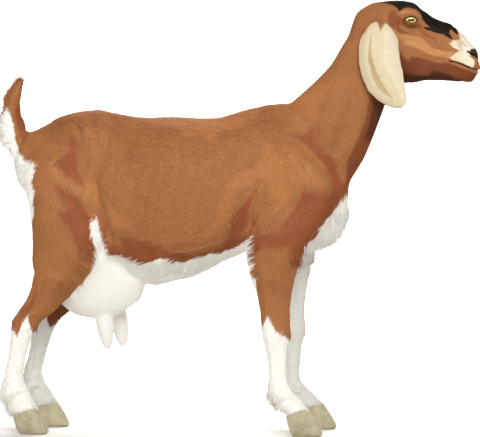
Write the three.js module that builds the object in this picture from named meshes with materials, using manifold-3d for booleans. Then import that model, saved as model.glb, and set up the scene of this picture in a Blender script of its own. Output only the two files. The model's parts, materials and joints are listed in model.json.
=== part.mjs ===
// A Nubian doe standing square: a still, life-size model in millimetres.
// +X runs from tail to head, +Y to the animal's left, +Z up. The hooves stand on z = 0.
//
// The flesh is one smooth field, blended from tapering oval bars that follow the trunk, neck, head, limbs
// and tail. Each named part is that field turned into a surface over its own stretch of the body, and parted
// from its neighbours by flat cuts. Ears, eyes, udder, teats, hooves and dewclaws are solids of their own.

import * as THREE from "three";
import { mergeVertices } from "three/addons/utils/BufferGeometryUtils.js";
import Module from "manifold-3d";

const wasm = await Module();
wasm.setup();

// Driving dimensions.
const cutGap = 0.3; // between parts that meet
const foreStance = 86; // from the midline to the middle of a fore hoof
const hindStance = 88; // from the midline to the middle of a hind hoof
const leftForeStep = 18; // the left legs stand this much ahead of the right ones
const leftHindStep = 15;
const toeOut = THREE.MathUtils.degToRad(13); // the hooves point this much outwards
const eyeRadius = 17;
const earThickness = 6;
const leftEarBack = THREE.MathUtils.degToRad(4); // the left ear hangs this much further back than the right
const leftEarOut = THREE.MathUtils.degToRad(8); // and this much further out

const stepsPerStation = 6; // how finely a bar follows its curve between two stations
const farAway = 90; // past this distance a bar's exact shape no longer matters
const side = { right: -1, left: 1 };

// ---- fields: negative inside, positive outside, near to millimetres at the surface ----

// A tapering oval bar. Each station is [x, z, ahead, behind, half width, y]: the centre in side view, then
// how far the flesh reaches on either side of it there. "ahead" is up on the trunk and forward on a leg.
function bar(stations, { power = 2, cap = 0.9 } = {}) {
  const path = new THREE.CatmullRomCurve3(stations.map(([x, z, , , , y = 0]) => new THREE.Vector3(x, y, z)));
  const girth = new THREE.CatmullRomCurve3(stations.map(([, , a, b, w]) => new THREE.Vector3(a, b, w)));
  const count = (stations.length - 1) * stepsPerStation;
  const rings = Array.from({ length: count + 1 }, (_, i) => {
    const at = path.getPoint(i / count);
    const size = girth.getPoint(i / count);
    const along = path.getTangent(Math.min(1, Math.max(0, i / count)));
    return { at, size, along };
  });
  const reach = Math.max(...rings.map(({ size }) => Math.max(size.x, size.y, size.z))) + farAway;
  const box = new THREE.Box3().setFromPoints(rings.map((r) => r.at)).expandByScalar(reach);
  const p = new THREE.Vector3();
  const along = new THREE.Vector3();
  const size = new THREE.Vector3();
  const from = new THREE.Vector3();
  const step = new THREE.Vector3();
  const field = (x, y, z) => {
    p.set(x, y, z);
    if (!box.containsPoint(p)) return farAway;
    let nearest = Infinity;
    let best = 0;
    let share = 0;
    for (let i = 0; i < count; i++) {
      step.subVectors(rings[i + 1].at, rings[i].at);
      const t = Math.min(1, Math.max(0, from.subVectors(p, rings[i].at).dot(step) / step.lengthSq()));
      const d = from.addScaledVector(step, -t).lengthSq();
      if (d < nearest) [nearest, best, share] = [d, i, t];
    }
    const [a, b] = [rings[best], rings[best + 1]];
    along.lerpVectors(a.along, b.along, share).normalize();
    size.lerpVectors(a.size, b.size, share);
    from.subVectors(p, step.lerpVectors(a.at, b.at, share));
    const flat = Math.hypot(along.x, along.z);
    const ahead = (-along.z * from.x + along.x * from.z) / flat;
    const past = from.dot(along);
    const across = Math.sqrt(Math.max(0, from.lengthSq() - ahead * ahead - past * past));
    const depth = ahead > 0 ? size.x : size.y;
    const end = cap * Math.min(size.x, size.y, size.z);
    const r = Math.hypot(
      (Math.abs(ahead / depth) ** power + Math.abs(across / size.z) ** power) ** (1 / power),
      past / end,
    );
    return r < 1e-6 ? -size.z : from.length() * (1 - 1 / r);
  };
  // The bar's own middle line, measured in stations: where it is there and which way it runs.
  field.place = (station) => {
    const t = station / (stations.length - 1);
    return { at: path.getPoint(t), along: path.getTangent(t) };
  };
  return field;
}

// A rounded lump: an ellipsoid with its radii along x, y and z, turned by an angle in side view.
function lump([x0, y0, z0], [rx, ry, rz], turn = 0) {
  const [c, s] = [Math.cos(turn), Math.sin(turn)];
  return (x, y, z) => {
    const [dx, dy, dz] = [x - x0, y - y0, z - z0];
    const [u, w] = [c * dx + s * dz, c * dz - s * dx];
    const r = Math.hypot(u / rx, dy / ry, w / rz);
    return r < 1e-6 ? -Math.min(rx, ry, rz) : Math.hypot(dx, dy, dz) * (1 - 1 / r);
  };
}

const both = (field) => (x, y, z) => field(x, Math.abs(y), z);

// Joins fields, with a fillet about as wide as the softness.
function blend(softness, ...fields) {
  return (x, y, z) =>
    fields.reduce((low, field) => {
      const f = typeof field === "function" ? field(x, y, z) : field;
      const h = Math.max(softness - Math.abs(low - f), 0) / softness;
      return Math.min(low, f) - (h * h * softness) / 4;
    }, farAway);
}

// ---- the trunk: [x, z, up, down, half width, y] ----

const trunk = bar(
  [
    [-516, 664, 66, 66, 44], // pin bones
    [-480, 652, 104, 98, 64],
    [-432, 637, 142, 124, 82], // hips
    [-380, 621, 170, 165, 92], // hooks
    [-322, 606, 176, 212, 106], // flank
    [-262, 594, 174, 232, 128],
    [-190, 584, 186, 225, 150], // widest of the barrel
    [-118, 580, 186, 199, 154],
    [-50, 581, 183, 159, 144],
    [10, 586, 187, 147, 124], // heart girth, behind the elbow
    [65, 592, 193, 152, 110], // withers
    [118, 592, 176, 148, 104],
    [176, 582, 140, 130, 92],
    [220, 568, 92, 92, 64], // point of the brisket
  ],
  { cap: 0.6 },
);
const belly = bar([
  [-290, 486, 96, 104, 112],
  [-240, 488, 100, 126, 136],
  [-180, 490, 104, 126, 148],
  [-110, 498, 104, 108, 144],
  [-50, 514, 92, 87, 122],
]);
const spine = bar([
  [-510, 709, 10, 12, 20],
  [-455, 746, 13, 12, 24],
  [-393, 764, 12, 12, 26],
  [-330, 755, 12, 12, 26],
  [-240, 746, 12, 12, 22],
  [-120, 742, 11, 12, 20],
  [-20, 748, 11, 12, 18],
  [30, 768, 13, 12, 16],
  [70, 780, 13, 14, 16],
  [112, 778, 13, 14, 16],
]);
const hook = both(lump([-380, 44, 726], [62, 38, 44], 0.25));
const pin = both(lump([-508, 32, 668], [38, 28, 34]));
const flankFold = both(lump([-352, 62, 436], [42, 30, 52])); // skin from the belly to the stifle
const thurl = both(lump([-440, 60, 640], [56, 32, 46]));
const brisket = bar([
  [70, 484, 44, 40, 48],
  [140, 490, 48, 48, 54],
  [202, 512, 46, 51, 50],
  [236, 556, 36, 34, 42],
]);
const shoulder = both(
  blend(
    34,
    bar([
      [92, 752, 34, 34, 16, 46],
      [110, 706, 46, 46, 26, 70],
      [150, 640, 52, 52, 32, 80],
      [196, 566, 44, 46, 30, 74], // point of the shoulder
    ]),
    bar([
      [196, 562, 44, 46, 32, 78],
      [146, 512, 56, 52, 34, 84],
      [94, 456, 52, 50, 34, 84], // elbow
    ]),
  ),
);
const neck = bar([
  [124, 660, 114, 100, 66],
  [176, 694, 117, 125, 72],
  [217, 742, 111, 124, 64],
  [250, 787, 100, 107, 54],
  [278, 832, 87, 94, 50],
  [302, 878, 75, 82, 48],
  [320, 924, 66, 74, 47],
  [334, 966, 60, 60, 45], // nape
]);

// ---- the head ----

const skull = bar([
  [320, 977, 58, 50, 46],
  [350, 989, 57, 54, 49], // poll
  [382, 994, 57, 60, 52],
  [412, 987, 59, 56, 52], // brow
  [452, 964, 47, 46, 43],
  [492, 940, 60, 38, 35], // bridge of the nose
  [528, 920, 50, 34, 31],
  [554, 906, 37, 26, 29], // muzzle
]);
const jawBone = bar([
  [378, 904, 40, 54, 36], // angle of the jaw
  [416, 890, 36, 42, 33],
  [462, 884, 30, 27, 26],
  [520, 878, 20, 23, 23],
  [565, 874, 16, 24, 20], // chin
]);
const cheek = both(blend(20, lump([406, 30, 918], [44, 20, 38]), lump([484, 19, 915], [50, 15, 26])));
const brow = both(lump([421, 36, 1008], [33, 24, 20], -0.4));
const nostrilWing = both(lump([566, 16, 919], [16, 16, 17]));
const upperLip = bar([
  [530, 906, 16, 12, 27],
  [560, 895, 16, 11, 25],
  [577, 887, 16, 11, 18],
]);
const head = blend(10, blend(26, skull, jawBone, cheek), brow, nostrilWing, upperLip);

// ---- the limbs, drawn for the left side ----

const foreleg = bar([
  [112, 500, 60, 62, 38, foreStance - 6],
  [94, 440, 66, 66, 38, foreStance - 3],
  [92, 408, 66, 66, 36, foreStance],
  [92, 376, 58, 58, 32, foreStance],
  [95, 345, 46, 46, 28, foreStance],
  [96, 305, 39, 39, 25, foreStance],
  [98, 264, 37, 37, 26, foreStance],
  [101, 237, 36, 37, 27, foreStance], // knee
  [100, 212, 28, 29, 21, foreStance],
  [102, 182, 23, 24, 18, foreStance], // cannon
  [104, 142, 22, 23, 18, foreStance],
  [109, 112, 23, 27, 21, foreStance],
  [122, 88, 26, 29, 24, foreStance], // fetlock
  [142, 66, 27, 26, 25, foreStance],
  [158, 46, 24, 26, 26, foreStance], // coronet
]);
const hindleg = bar([
  [-450, 640, 74, 77, 36, 58],
  [-428, 560, 94, 79, 42, 74],
  [-416, 480, 86, 79, 42, hindStance - 4], // stifle
  [-424, 404, 76, 76, 35, hindStance],
  [-444, 360, 57, 58, 30, hindStance],
  [-466, 324, 42, 42, 26, hindStance],
  [-494, 292, 32, 32, 23, hindStance],
  [-513, 262, 30, 34, 23, hindStance], // hock
  [-521, 232, 26, 28, 20, hindStance],
  [-528, 200, 22, 24, 18, hindStance], // cannon
  [-534, 168, 22, 23, 18, hindStance],
  [-538, 138, 23, 26, 19, hindStance],
  [-535, 108, 28, 33, 23, hindStance], // fetlock
  [-520, 80, 28, 31, 24, hindStance],
  [-504, 52, 24, 28, 26, hindStance], // coronet
]);

const heel = lump([-527, hindStance, 64], [25, 22, 22]);

// The trunk stays square: a left leg's step grows from nothing at the elbow or stifle to its full length
// lower down, and its cannon and its foot stand a little further ahead than its fetlock.
const { smoothstep } = THREE.MathUtils;
const leanAt = (z) => 8 * smoothstep(130 - z, 0, 90) + 7 * smoothstep(z, 120, 190) * smoothstep(480 - z, 0, 120);
const stepAt = (s, step, z) => (s > 0 ? step * smoothstep(560 - z, 0, 170) + leanAt(z) : 0);
const pair = (leg, step) => (x, y, z) => leg(x - stepAt(y, step, z), Math.abs(y), z);

const tail = bar([
  [-506, 680, 34, 30, 26],
  [-536, 700, 37, 33, 28],
  [-555, 732, 31, 35, 28],
  [-562, 770, 21, 28, 26],
  [-556, 806, 16, 19, 21],
  [-542, 840, 11, 10, 13],
  [-530, 864, 3, 3, 5],
]);

const torso = blend(26, blend(40, blend(26, trunk, belly), neck), brisket, shoulder);
const flesh = blend(
  16,
  blend(
    26,
    blend(34, torso, spine, hook, pin, thurl, flankFold),
    pair(foreleg, leftForeStep),
    pair(blend(14, hindleg, heel), leftHindStep),
  ),
  tail,
  head,
);

const udderField = blend(26, ...[-1, 1].map((s) => lump([-338, s * 38, 371], [114, 54, 96], 0.14)));

// ---- from field to surface ----

// A closed mesh round the inside of a field, within a box: one vertex in each grid cell that the surface
// crosses, then pulled onto the surface itself.
function surfaceNet(field, low, high, cell) {
  const inset = low.map((v, k) => [v + cell[k], high[k] - cell[k]]);
  const bounded = (x, y, z) =>
    Math.max(field(x, y, z), ...[x, y, z].flatMap((v, k) => [inset[k][0] - v, v - inset[k][1]]));
  const n = low.map((v, k) => Math.ceil((high[k] - v) / cell[k]) + 1);
  const stride = [1, n[0], n[0] * n[1]];
  const values = new Float32Array(n[0] * n[1] * n[2]);
  const place = (i, k) => low[k] + i * cell[k];
  const eachCell = (first, visit) => {
    for (let k = first; k < n[2] - 1; k++)
      for (let j = first; j < n[1] - 1; j++)
        for (let i = first; i < n[0] - 1; i++) visit([i, j, k], i + j * stride[1] + k * stride[2]);
  };
  for (let c = 0; c < values.length; c++) {
    const [i, j, k] = [c % n[0], Math.floor(c / n[0]) % n[1], Math.floor(c / stride[2])];
    values[c] = bounded(place(i, 0), place(j, 1), place(k, 2));
  }

  const corners = Array.from({ length: 8 }, (_, c) => [c & 1, (c >> 1) & 1, (c >> 2) & 1]);
  const edges = corners.flatMap((_, a) => [1, 2, 4].filter((bit) => !(a & bit)).map((bit) => [a, a + bit]));
  const vertexOf = new Int32Array(values.length).fill(-1);
  const positions = [];
  eachCell(0, (cellAt, base) => {
    const v = corners.map(([a, b, c]) => values[base + a + b * stride[1] + c * stride[2]]);
    const crossed = edges.filter(([a, b]) => v[a] < 0 !== v[b] < 0);
    if (!crossed.length) return;
    vertexOf[base] = positions.length / 3;
    for (let m = 0; m < 3; m++) {
      const share = ([a, b]) => corners[a][m] + (v[a] / (v[a] - v[b])) * (corners[b][m] - corners[a][m]);
      const mean = crossed.reduce((sum, edge) => sum + share(edge), 0) / crossed.length;
      positions.push(place(cellAt[m] + mean, m));
    }
  });
  settle(positions, bounded, Math.min(...cell) / 2);

  const index = [];
  eachCell(1, (_, base) => {
    for (let axis = 0; axis < 3; axis++) {
      const inside = values[base] < 0;
      if (inside === values[base + stride[axis]] < 0) continue;
      const [u, w] = [stride[(axis + 1) % 3], stride[(axis + 2) % 3]];
      const quad = [base, base - u, base - u - w, base - w].map((c) => vertexOf[c]);
      if (!inside) quad.reverse();
      index.push(...splitQuad(quad, positions));
    }
  });
  return new THREE.BufferGeometry()
    .setAttribute("position", new THREE.Float32BufferAttribute(positions, 3))
    .setIndex(index);
}

// Moves each vertex down the field's slope until it lies on the surface.
function settle(positions, field, most) {
  const nudge = 0.5;
  for (let v = 0; v < positions.length; v += 3)
    for (let round = 0; round < 4; round++) {
      const [x, y, z] = positions.slice(v, v + 3);
      const f = field(x, y, z);
      const slope = new THREE.Vector3(
        field(x + nudge, y, z) - field(x - nudge, y, z),
        field(x, y + nudge, z) - field(x, y - nudge, z),
        field(x, y, z + nudge) - field(x, y, z - nudge),
      ).divideScalar(2 * nudge);
      const steep = slope.length();
      if (steep < 1e-2) break;
      const move = THREE.MathUtils.clamp(f / steep, -most, most) / steep;
      positions[v] -= move * slope.x;
      positions[v + 1] -= move * slope.y;
      positions[v + 2] -= move * slope.z;
    }
}

// Two triangles for a quad, split along its shorter diagonal.
function splitQuad([a, b, c, d], positions) {
  const span = (p, q) => Math.hypot(...[0, 1, 2].map((m) => positions[3 * p + m] - positions[3 * q + m]));
  return span(a, c) < span(b, d) ? [a, b, c, a, c, d] : [a, b, d, b, c, d];
}

// A closed skin over a row of rings with equal counts of points, each end closed flat.
function loft(rings) {
  const count = rings[0].length;
  const last = rings.length - 1;
  const middle = (ring) => ring.reduce((sum, p) => sum.add(p), new THREE.Vector3()).divideScalar(count);
  const points = [...rings.flat(), middle(rings[0]), middle(rings[last])];
  const [startHub, endHub] = [points.length - 2, points.length - 1];
  const index = [];
  for (let j = 0; j < count; j++) {
    const next = (j + 1) % count;
    for (let i = 0; i < last; i++) {
      const [a, b] = [i * count + j, i * count + next];
      index.push(a, b, b + count, a, b + count, a + count);
    }
    index.push(startHub, next, j, endHub, last * count + j, last * count + next);
  }
  return facingOut(
    new THREE.BufferGeometry()
      .setAttribute("position", new THREE.Float32BufferAttribute(points.flatMap((p) => p.toArray()), 3))
      .setIndex(index),
  );
}

function facingOut(geometry) {
  const { array } = geometry.index;
  const corner = (k) => new THREE.Vector3().fromBufferAttribute(geometry.attributes.position, array[k]);
  let volume = 0;
  for (let i = 0; i < array.length; i += 3) volume += corner(i).dot(corner(i + 1).cross(corner(i + 2)));
  if (volume < 0)
    for (let i = 0; i < array.length; i += 3) [array[i + 1], array[i + 2]] = [array[i + 2], array[i + 1]];
  return geometry;
}

// ---- solids: closed bodies that can be cut ----

function solid(geometry) {
  const bare = geometry.clone();
  bare.deleteAttribute("normal");
  bare.deleteAttribute("uv");
  const merged = mergeVertices(bare, 1e-3);
  const vertProperties = Float32Array.from(merged.attributes.position.array);
  const triVerts = Uint32Array.from(merged.index.array);
  return new wasm.Manifold(new wasm.Mesh({ numProp: 3, vertProperties, triVerts }));
}

function geometryOf(body) {
  const { numProp, vertProperties, triVerts } = body.getMesh();
  const count = vertProperties.length / numProp;
  const position = new Float32Array(count * 3);
  for (let i = 0; i < count; i++) position.set(vertProperties.subarray(i * numProp, i * numProp + 3), i * 3);
  const geometry = new THREE.BufferGeometry()
    .setAttribute("position", new THREE.BufferAttribute(position, 3))
    .setIndex(new THREE.BufferAttribute(triVerts, 1));
  geometry.computeVertexNormals();
  return geometry;
}

// What is left of a body beside its neighbours, at a cut's width from them. Slivers are dropped.
function beside(body, ...neighbours) {
  const clear = (rest, neighbour) => rest.subtract(grown(neighbour)).subtract(neighbour);
  return largest(neighbours.reduce(clear, body));
}

// The body with its skin moved outwards.
function grown(body, by = 2.5 * cutGap) {
  const geometry = geometryOf(body);
  const { position, normal } = geometry.attributes;
  for (let i = 0; i < position.array.length; i++) position.array[i] += by * normal.array[i];
  return solid(geometry);
}

const largest = (body) => body.decompose().sort((a, b) => b.volume() - a.volume())[0];

// A cut in side view, from one point [x, z] to another: what lies to its left stays, with +X to the right and
// +Z up.
function cut([x1, z1], [x2, z2]) {
  const normal = new THREE.Vector3(z1 - z2, 0, x2 - x1).normalize();
  return { normal, offset: normal.x * x1 + normal.z * z1 };
}
const flip = ({ normal, offset }) => ({ normal: normal.clone().negate(), offset: -offset });
const sideOf = (s) => ({ normal: new THREE.Vector3(0, s, 0), offset: 0 });
function part(body, ...cuts) {
  const trim = (rest, { normal, offset }) => rest.trimByPlane(normal.toArray(), offset + cutGap / 2);
  return largest(cuts.reduce(trim, body));
}

// A stretch of limb, neck or tail: rings on the field, square to the bar's middle line at the given stations,
// between two cuts. Without a second cut it runs out to a small blunt tip. s and step are those of a leg.
function stretch(line, stations, [first, second], { sides = 12, s = 1, step = 0 } = {}) {
  const places = stations.map((k) => {
    const { at, along } = line.place(k);
    return {
      at: new THREE.Vector3(at.x + stepAt(s, step, at.z), s * at.y, at.z),
      along: new THREE.Vector3(along.x, s * along.y, along.z),
    };
  });
  const meet = ({ normal, offset }, { at, along }) =>
    at.clone().addScaledVector(along, (offset + cutGap / 2 - normal.dot(at)) / normal.dot(along));
  places.unshift({ at: meet(first, places[0]), along: first.normal });
  if (second) places.push({ at: meet(second, places.at(-1)), along: second.normal.clone().negate() });
  return solid(loft(places.map((place) => ringOn(flesh, place, sides))));
}

// Points on the field round a place, in the plane square to "along". The place is centred in them first.
function ringOn(field, { at, along }, sides) {
  const v = new THREE.Vector3(0, 1, 0).projectOnPlane(along).normalize();
  const u = new THREE.Vector3().crossVectors(v, along);
  let hub = at;
  let ring = [];
  for (let round = 0; round < 2; round++) {
    ring = Array.from({ length: sides }, (_, j) => {
      const angle = (2 * Math.PI * (j + 0.5)) / sides;
      const ray = u.clone().multiplyScalar(Math.cos(angle)).addScaledVector(v, Math.sin(angle));
      return reachSurface(field, hub, ray);
    });
    hub = ring.reduce((sum, p) => sum.add(p), new THREE.Vector3()).divideScalar(sides);
  }
  return ring;
}

// From a point inside the field out along a ray to the surface.
function reachSurface(field, from, ray) {
  const p = from.clone();
  for (let step = 0; step < 80; step++) {
    const f = field(p.x, p.y, p.z);
    if (f > -0.01) break;
    p.addScaledVector(ray, Math.max(0.02, -0.6 * f));
  }
  return p;
}

// On a leg the points are those of a right leg; a left leg's are carried forward with it. What is above the
// cut stays.
const legCut = (s, step, ...points) => cut(...points.map(([x, z]) => [x + stepAt(s, step, z), z]));

// The same cut, turned with a hoof about the upright through its middle.
function turnedOut(plane, s, [x, y]) {
  const height = (plane.offset - plane.normal.x * x) / plane.normal.z;
  const normal = plane.normal.clone().applyAxisAngle(new THREE.Vector3(0, 0, 1), s * toeOut);
  return { normal, offset: normal.dot(new THREE.Vector3(x, s * y, height)) };
}

// ---- solids of their own ----

function eyeball(s, radius) {
  return solid(new THREE.IcosahedronGeometry(radius, 2).translate(420, s * 47.5, 998));
}

// Everything below the mouth and behind its corner, under the cheek. "lift" raises its upper face.
function belowMouth(lift) {
  const outline = new THREE.Shape();
  outline.moveTo(640, 858 + lift);
  outline.lineTo(576, 882 + lift); // front of the mouth
  outline.lineTo(513, 904 + lift); // its corner
  outline.lineTo(404 - lift, 908 + lift);
  outline.lineTo(392 - lift, 800);
  outline.lineTo(640, 800);
  const plate = new THREE.ExtrudeGeometry(outline, { depth: 240, bevelEnabled: false });
  return solid(plate.rotateX(Math.PI / 2).translate(0, 120, 0));
}

// A hanging ear: a leaf round a bent midline, cupped towards the head. Each station is [x, y, z, half width].
function ear(s) {
  const stations = [
    [352, 40, 1004, 15],
    [348, 58, 996, 30],
    [346, 76, 960, 51],
    [345, 84, 905, 54],
    [361, 82, 850, 50],
    [386, 78, 814, 32],
    [405, 75, 795, 12],
  ];
  const midline = new THREE.CatmullRomCurve3(stations.map(([x, y, z]) => new THREE.Vector3(x, y, z)));
  const width = new THREE.CatmullRomCurve3(stations.map(([, , , w], i) => new THREE.Vector3(i, w, 0)));
  const [rows, columns] = [12, 6];
  const cupping = (t) => 1.05 - 0.6 * t; // how far an edge is bent round, in radians
  const rings = Array.from({ length: rows + 1 }, (_, i) => {
    const t = i / rows;
    const at = midline.getPoint(t);
    const along = midline.getTangent(t);
    const across = new THREE.Vector3(-along.z, 0, along.x).normalize();
    const out = new THREE.Vector3().crossVectors(along, across).normalize();
    if (out.y < 0) out.negate();
    const radius = width.getPoint(t).y / cupping(t);
    const onFace = (face) => (_, j) => {
      const v = face * ((2 * j) / columns - 1);
      const r = radius + face * (earThickness / 2) * (1 - 0.55 * v * v);
      return at
        .clone()
        .addScaledVector(across, r * Math.sin(v * cupping(t)))
        .addScaledVector(out, r * Math.cos(v * cupping(t)) - radius);
    };
    return [1, -1].flatMap((face) => Array.from({ length: columns + 1 }, onFace(face)));
  });
  const leaf = loft(rings);
  const [x, y, z] = stations[1];
  if (s < 0) return solid(facingOut(leaf.scale(1, -1, 1)));
  return solid(leaf.translate(-x, -y, -z).rotateY(leftEarBack).rotateX(leftEarOut).translate(x, y, z + 4));
}

// A teat: rings down a slightly forward leaning line. Each level is [x, z, radius, y].
function teat(s) {
  const levels = [
    [-326, 300, 20, 42],
    [-323, 272, 23, 44],
    [-320, 246, 21, 46],
    [-316, 220, 15, 48],
    [-314, 203, 6, 49],
  ];
  const ahead = s > 0 ? 24 : 0; // the left teat sits further forward
  const sides = 10;
  const ring = ([x, z, radius, y]) =>
    Array.from({ length: sides }, (_, j) => {
      const angle = (2 * Math.PI * j) / sides;
      return new THREE.Vector3(x + ahead + radius * Math.cos(angle), s * y + radius * Math.sin(angle), z);
    });
  return solid(loft(levels.map(ring)));
}

// One claw of a hoof, to the left (1) or right (-1) of the cleft of the foot at [x, y]. Each level is
// [back x, back z, front x, front z, half width], from the sole to above the coronet, x counted from
// the foot's.
function claw(levels, hand, s, [x, y]) {
  const cleft = 1.5;
  const sides = 16;
  const rings = levels.map(([backX, backZ, frontX, frontZ, half]) =>
    Array.from({ length: sides }, (_, j) => {
      const angle = (2 * Math.PI * (j + 0.5)) / sides;
      const [c, n] = [Math.cos(angle), Math.sin(angle)];
      const share = 0.5 + 0.5 * c; // 0 at the heel, 1 at the toe
      const toe = Math.max(0, c) ** 3;
      const out = n > 0 ? n * (1 - 0.3 * toe) : -(Math.abs(n) ** 0.5) * (1 - 0.15 * toe);
      return new THREE.Vector3(
        THREE.MathUtils.lerp(backX, frontX, share),
        hand * (cleft + half + half * out - 0.25 * half * toe),
        THREE.MathUtils.lerp(backZ, frontZ, share),
      );
    }),
  );
  return solid(loft(rings).rotateZ(s * toeOut).translate(x, s * y, 0));
}

// ---- the parts ----

const look = {
  brown: new THREE.MeshStandardMaterial({ color: 0xa86e43, roughness: 0.75, metalness: 0 }),
  white: new THREE.MeshStandardMaterial({ color: 0xe9e6dc, roughness: 0.8, metalness: 0 }),
  cream: new THREE.MeshStandardMaterial({ color: 0xe3d3b2, roughness: 0.8, metalness: 0 }),
  horn: new THREE.MeshStandardMaterial({ color: 0xb3a583, roughness: 0.5, metalness: 0 }),
  eye: new THREE.MeshStandardMaterial({ color: 0xd9b24a, roughness: 0.1, metalness: 0 }),
};
const goat = new THREE.Group();
goat.name = "goat";

function add(name, body, material) {
  const mesh = new THREE.Mesh(geometryOf(body), material.clone());
  mesh.name = name;
  goat.add(mesh);
}

const nape = cut([372, 842], [262, 990]); // the neck stays
const throatToWithers = cut([267, 612], [118, 806]); // the chest stays
const elbowLine = cut([20, 416], [200, 430]); // the chest stays
const girthLine = cut([-30, 400], [-30, 800]); // the barrel stays
const flankLine = cut([-322, 400], [-322, 800]); // the rump stays
const thighLine = cut([-560, 606], [-322, 476]); // the rump stays
const tailLine = cut([-562, 640], [-514, 733]); // the tail stays
const stifleLine = [[-510, 408], [-340, 352]]; // the thigh stays

const front = solid(surfaceNet(flesh, [-110, -176, 330], [350, 176, 890], [31, 30, 31]));
const back = solid(surfaceNet(flesh, [-650, -170, 250], [-238, 170, 838], [32, 31, 32]));
const chest = part(front, throatToWithers, flip(girthLine), elbowLine);
const barrel = stretch(trunk, [4.9, 5.5, 6.2, 7, 7.6], [flip(flankLine), girthLine], { sides: 24 });
const rump = part(back, flankLine, thighLine, flip(tailLine));
add("chest", chest, look.brown);
add("barrel", barrel, look.brown);
add("rump", rump, look.brown);
add("neck", stretch(neck, [2, 2.7, 3.4, 4.1, 4.7], [flip(throatToWithers), nape], { sides: 16 }), look.brown);
add("tail", stretch(tail, [1.7, 2.3, 3, 4, 5, 5.8], [tailLine], { sides: 10 }), look.brown);

// The head, parted at the mouth, with a socket for each eye.
const headNet = surfaceNet(flesh, [240, -96, 790], [630, 96, 1096], [15.5, 15.5, 15.5]);
const wholeHead = part(solid(headNet), flip(nape));
const sockets = [-1, 1].map((s) => eyeball(s, eyeRadius + cutGap));
const upperHead = wholeHead.subtract(belowMouth(cutGap / 2));
add("head", largest(sockets.reduce((rest, ball) => rest.subtract(ball), upperHead)), look.brown);
add("jaw", largest(wholeHead.intersect(belowMouth(-cutGap / 2))), look.brown);

const legs = {
  foreleg: {
    line: foreleg,
    step: leftForeStep,
    foot: [158, foreStance],
    knee: [[40, 268], [150, 268]],
    fetlock: [[60, 130], [140, 138]],
    coronet: [[109, 43], [184, 69]],
    hoof: [
      [-14, 0, 46, 0, 10.5],
      [-19, 5, 52, 4, 12.5],
      [-24, 14, 50, 14, 13.5],
      [-28, 30, 36, 38, 14],
      [-31, 44, 18, 64, 13.5],
      [-32, 56, 7, 80, 13],
    ],
    dewclaw: [96, 84],
  },
  hindleg: {
    line: hindleg,
    step: leftHindStep,
    foot: [-502, hindStance],
    knee: [[-530, 334], [-430, 284]],
    fetlock: [[-580, 152], [-490, 138]],
    coronet: [[-551, 46], [-470, 66]],
    hoof: [
      [-17, 0, 42, 0, 10.5],
      [-22, 5, 48, 4, 12.5],
      [-27, 14, 46, 14, 13.5],
      [-32, 30, 34, 38, 14],
      [-35, 44, 18, 64, 13.5],
      [-36, 56, 8, 80, 13],
    ],
    dewclaw: [-552, 84],
  },
};

for (const [hand, s] of [["right", -1], ["left", 1]]) {
  const thigh = part(back, flip(thighLine), flankLine, sideOf(s), legCut(s, leftHindStep, ...stifleLine));
  add(`hindleg_${hand}_thigh`, thigh, look.brown);
  const tops = {
    foreleg: ["forearm", flip(elbowLine), [2.4, 3, 4, 5]],
    hindleg: ["gaskin", flip(legCut(s, leftHindStep, ...stifleLine)), [4, 4.8]],
  };
  const shins = { foreleg: [7, 8, 9, 10], hindleg: [6, 7, 8, 9, 10] };
  const feet = { foreleg: [11, 12, 13], hindleg: [12, 13] };
  for (const [leg, { line, step, foot, knee, fetlock, coronet, hoof, dewclaw }] of Object.entries(legs)) {
    const at = [foot[0] + stepAt(s, step, 0), foot[1]];
    const cuts = [knee, fetlock, coronet].map((ends) => legCut(s, step, ...ends));
    const [kneeCut, fetlockCut, coronetCut] = cuts;
    const hoofCut = turnedOut(coronetCut, s, at);
    const [topName, topCut, topStations] = tops[leg];
    const name = `${leg}_${hand}`;
    const run = (stations, cuts) => stretch(line, stations, cuts, { s, step });
    add(`${name}_${topName}`, run(topStations, [topCut, kneeCut]), look.brown);
    const cannon = run(shins[leg], [flip(kneeCut), fetlockCut]);
    const pastern = run(feet[leg], [flip(fetlockCut), hoofCut]);
    add(`${name}_cannon`, cannon, look.white);
    add(`${name}_pastern`, pastern, look.white);
    for (const [place, outward] of [["outer", 1], ["inner", -1]]) {
      const horn = claw(hoof, s * outward, s, at);
      add(`hoof_${leg.slice(0, 4)}_${hand}_${place}`, part(horn, flip(hoofCut)), look.horn);
      const spur = new THREE.OctahedronGeometry(1, 1).scale(10, 8, 12);
      spur.translate(dewclaw[0] + stepAt(s, step, 0), s * foot[1] + s * outward * 13, dewclaw[1]);
      add(`dewclaw_${leg.slice(0, 4)}_${hand}_${place}`, beside(solid(spur), pastern, cannon), look.horn);
    }
  }
}

// Udder and teats.
const gaskinMeshes = goat.children.filter((mesh) => mesh.name.endsWith("_gaskin"));
const gaskins = gaskinMeshes.map((mesh) => solid(mesh.geometry));
const udderBag = solid(surfaceNet(udderField, [-490, -130, 232], [-180, 130, 500], [30, 28, 29]));
const udder = beside(udderBag, back, barrel, ...gaskins);
add("udder", udder, look.white);
for (const [hand, s] of [["right", -1], ["left", 1]]) add(`teat_${hand}`, beside(teat(s), udder), look.white);

// Eyes and ears.
for (const [hand, s] of [["right", -1], ["left", 1]]) {
  add(`eye_${hand}`, eyeball(s, eyeRadius), look.eye);
  add(`ear_${hand}`, beside(ear(s), wholeHead), look.cream);
}

// The origin is under the middle of the whole animal.
const reach = new THREE.Box3().setFromObject(goat);
goat.position.set(-(reach.min.x + reach.max.x) / 2, -(reach.min.y + reach.max.y) / 2, -reach.min.z);

export default goat;
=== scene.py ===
import json
import math
import time

import bmesh
import bpy
import numpy as np
from mathutils import Matrix, Vector
from mathutils.bvhtree import BVHTree

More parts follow.
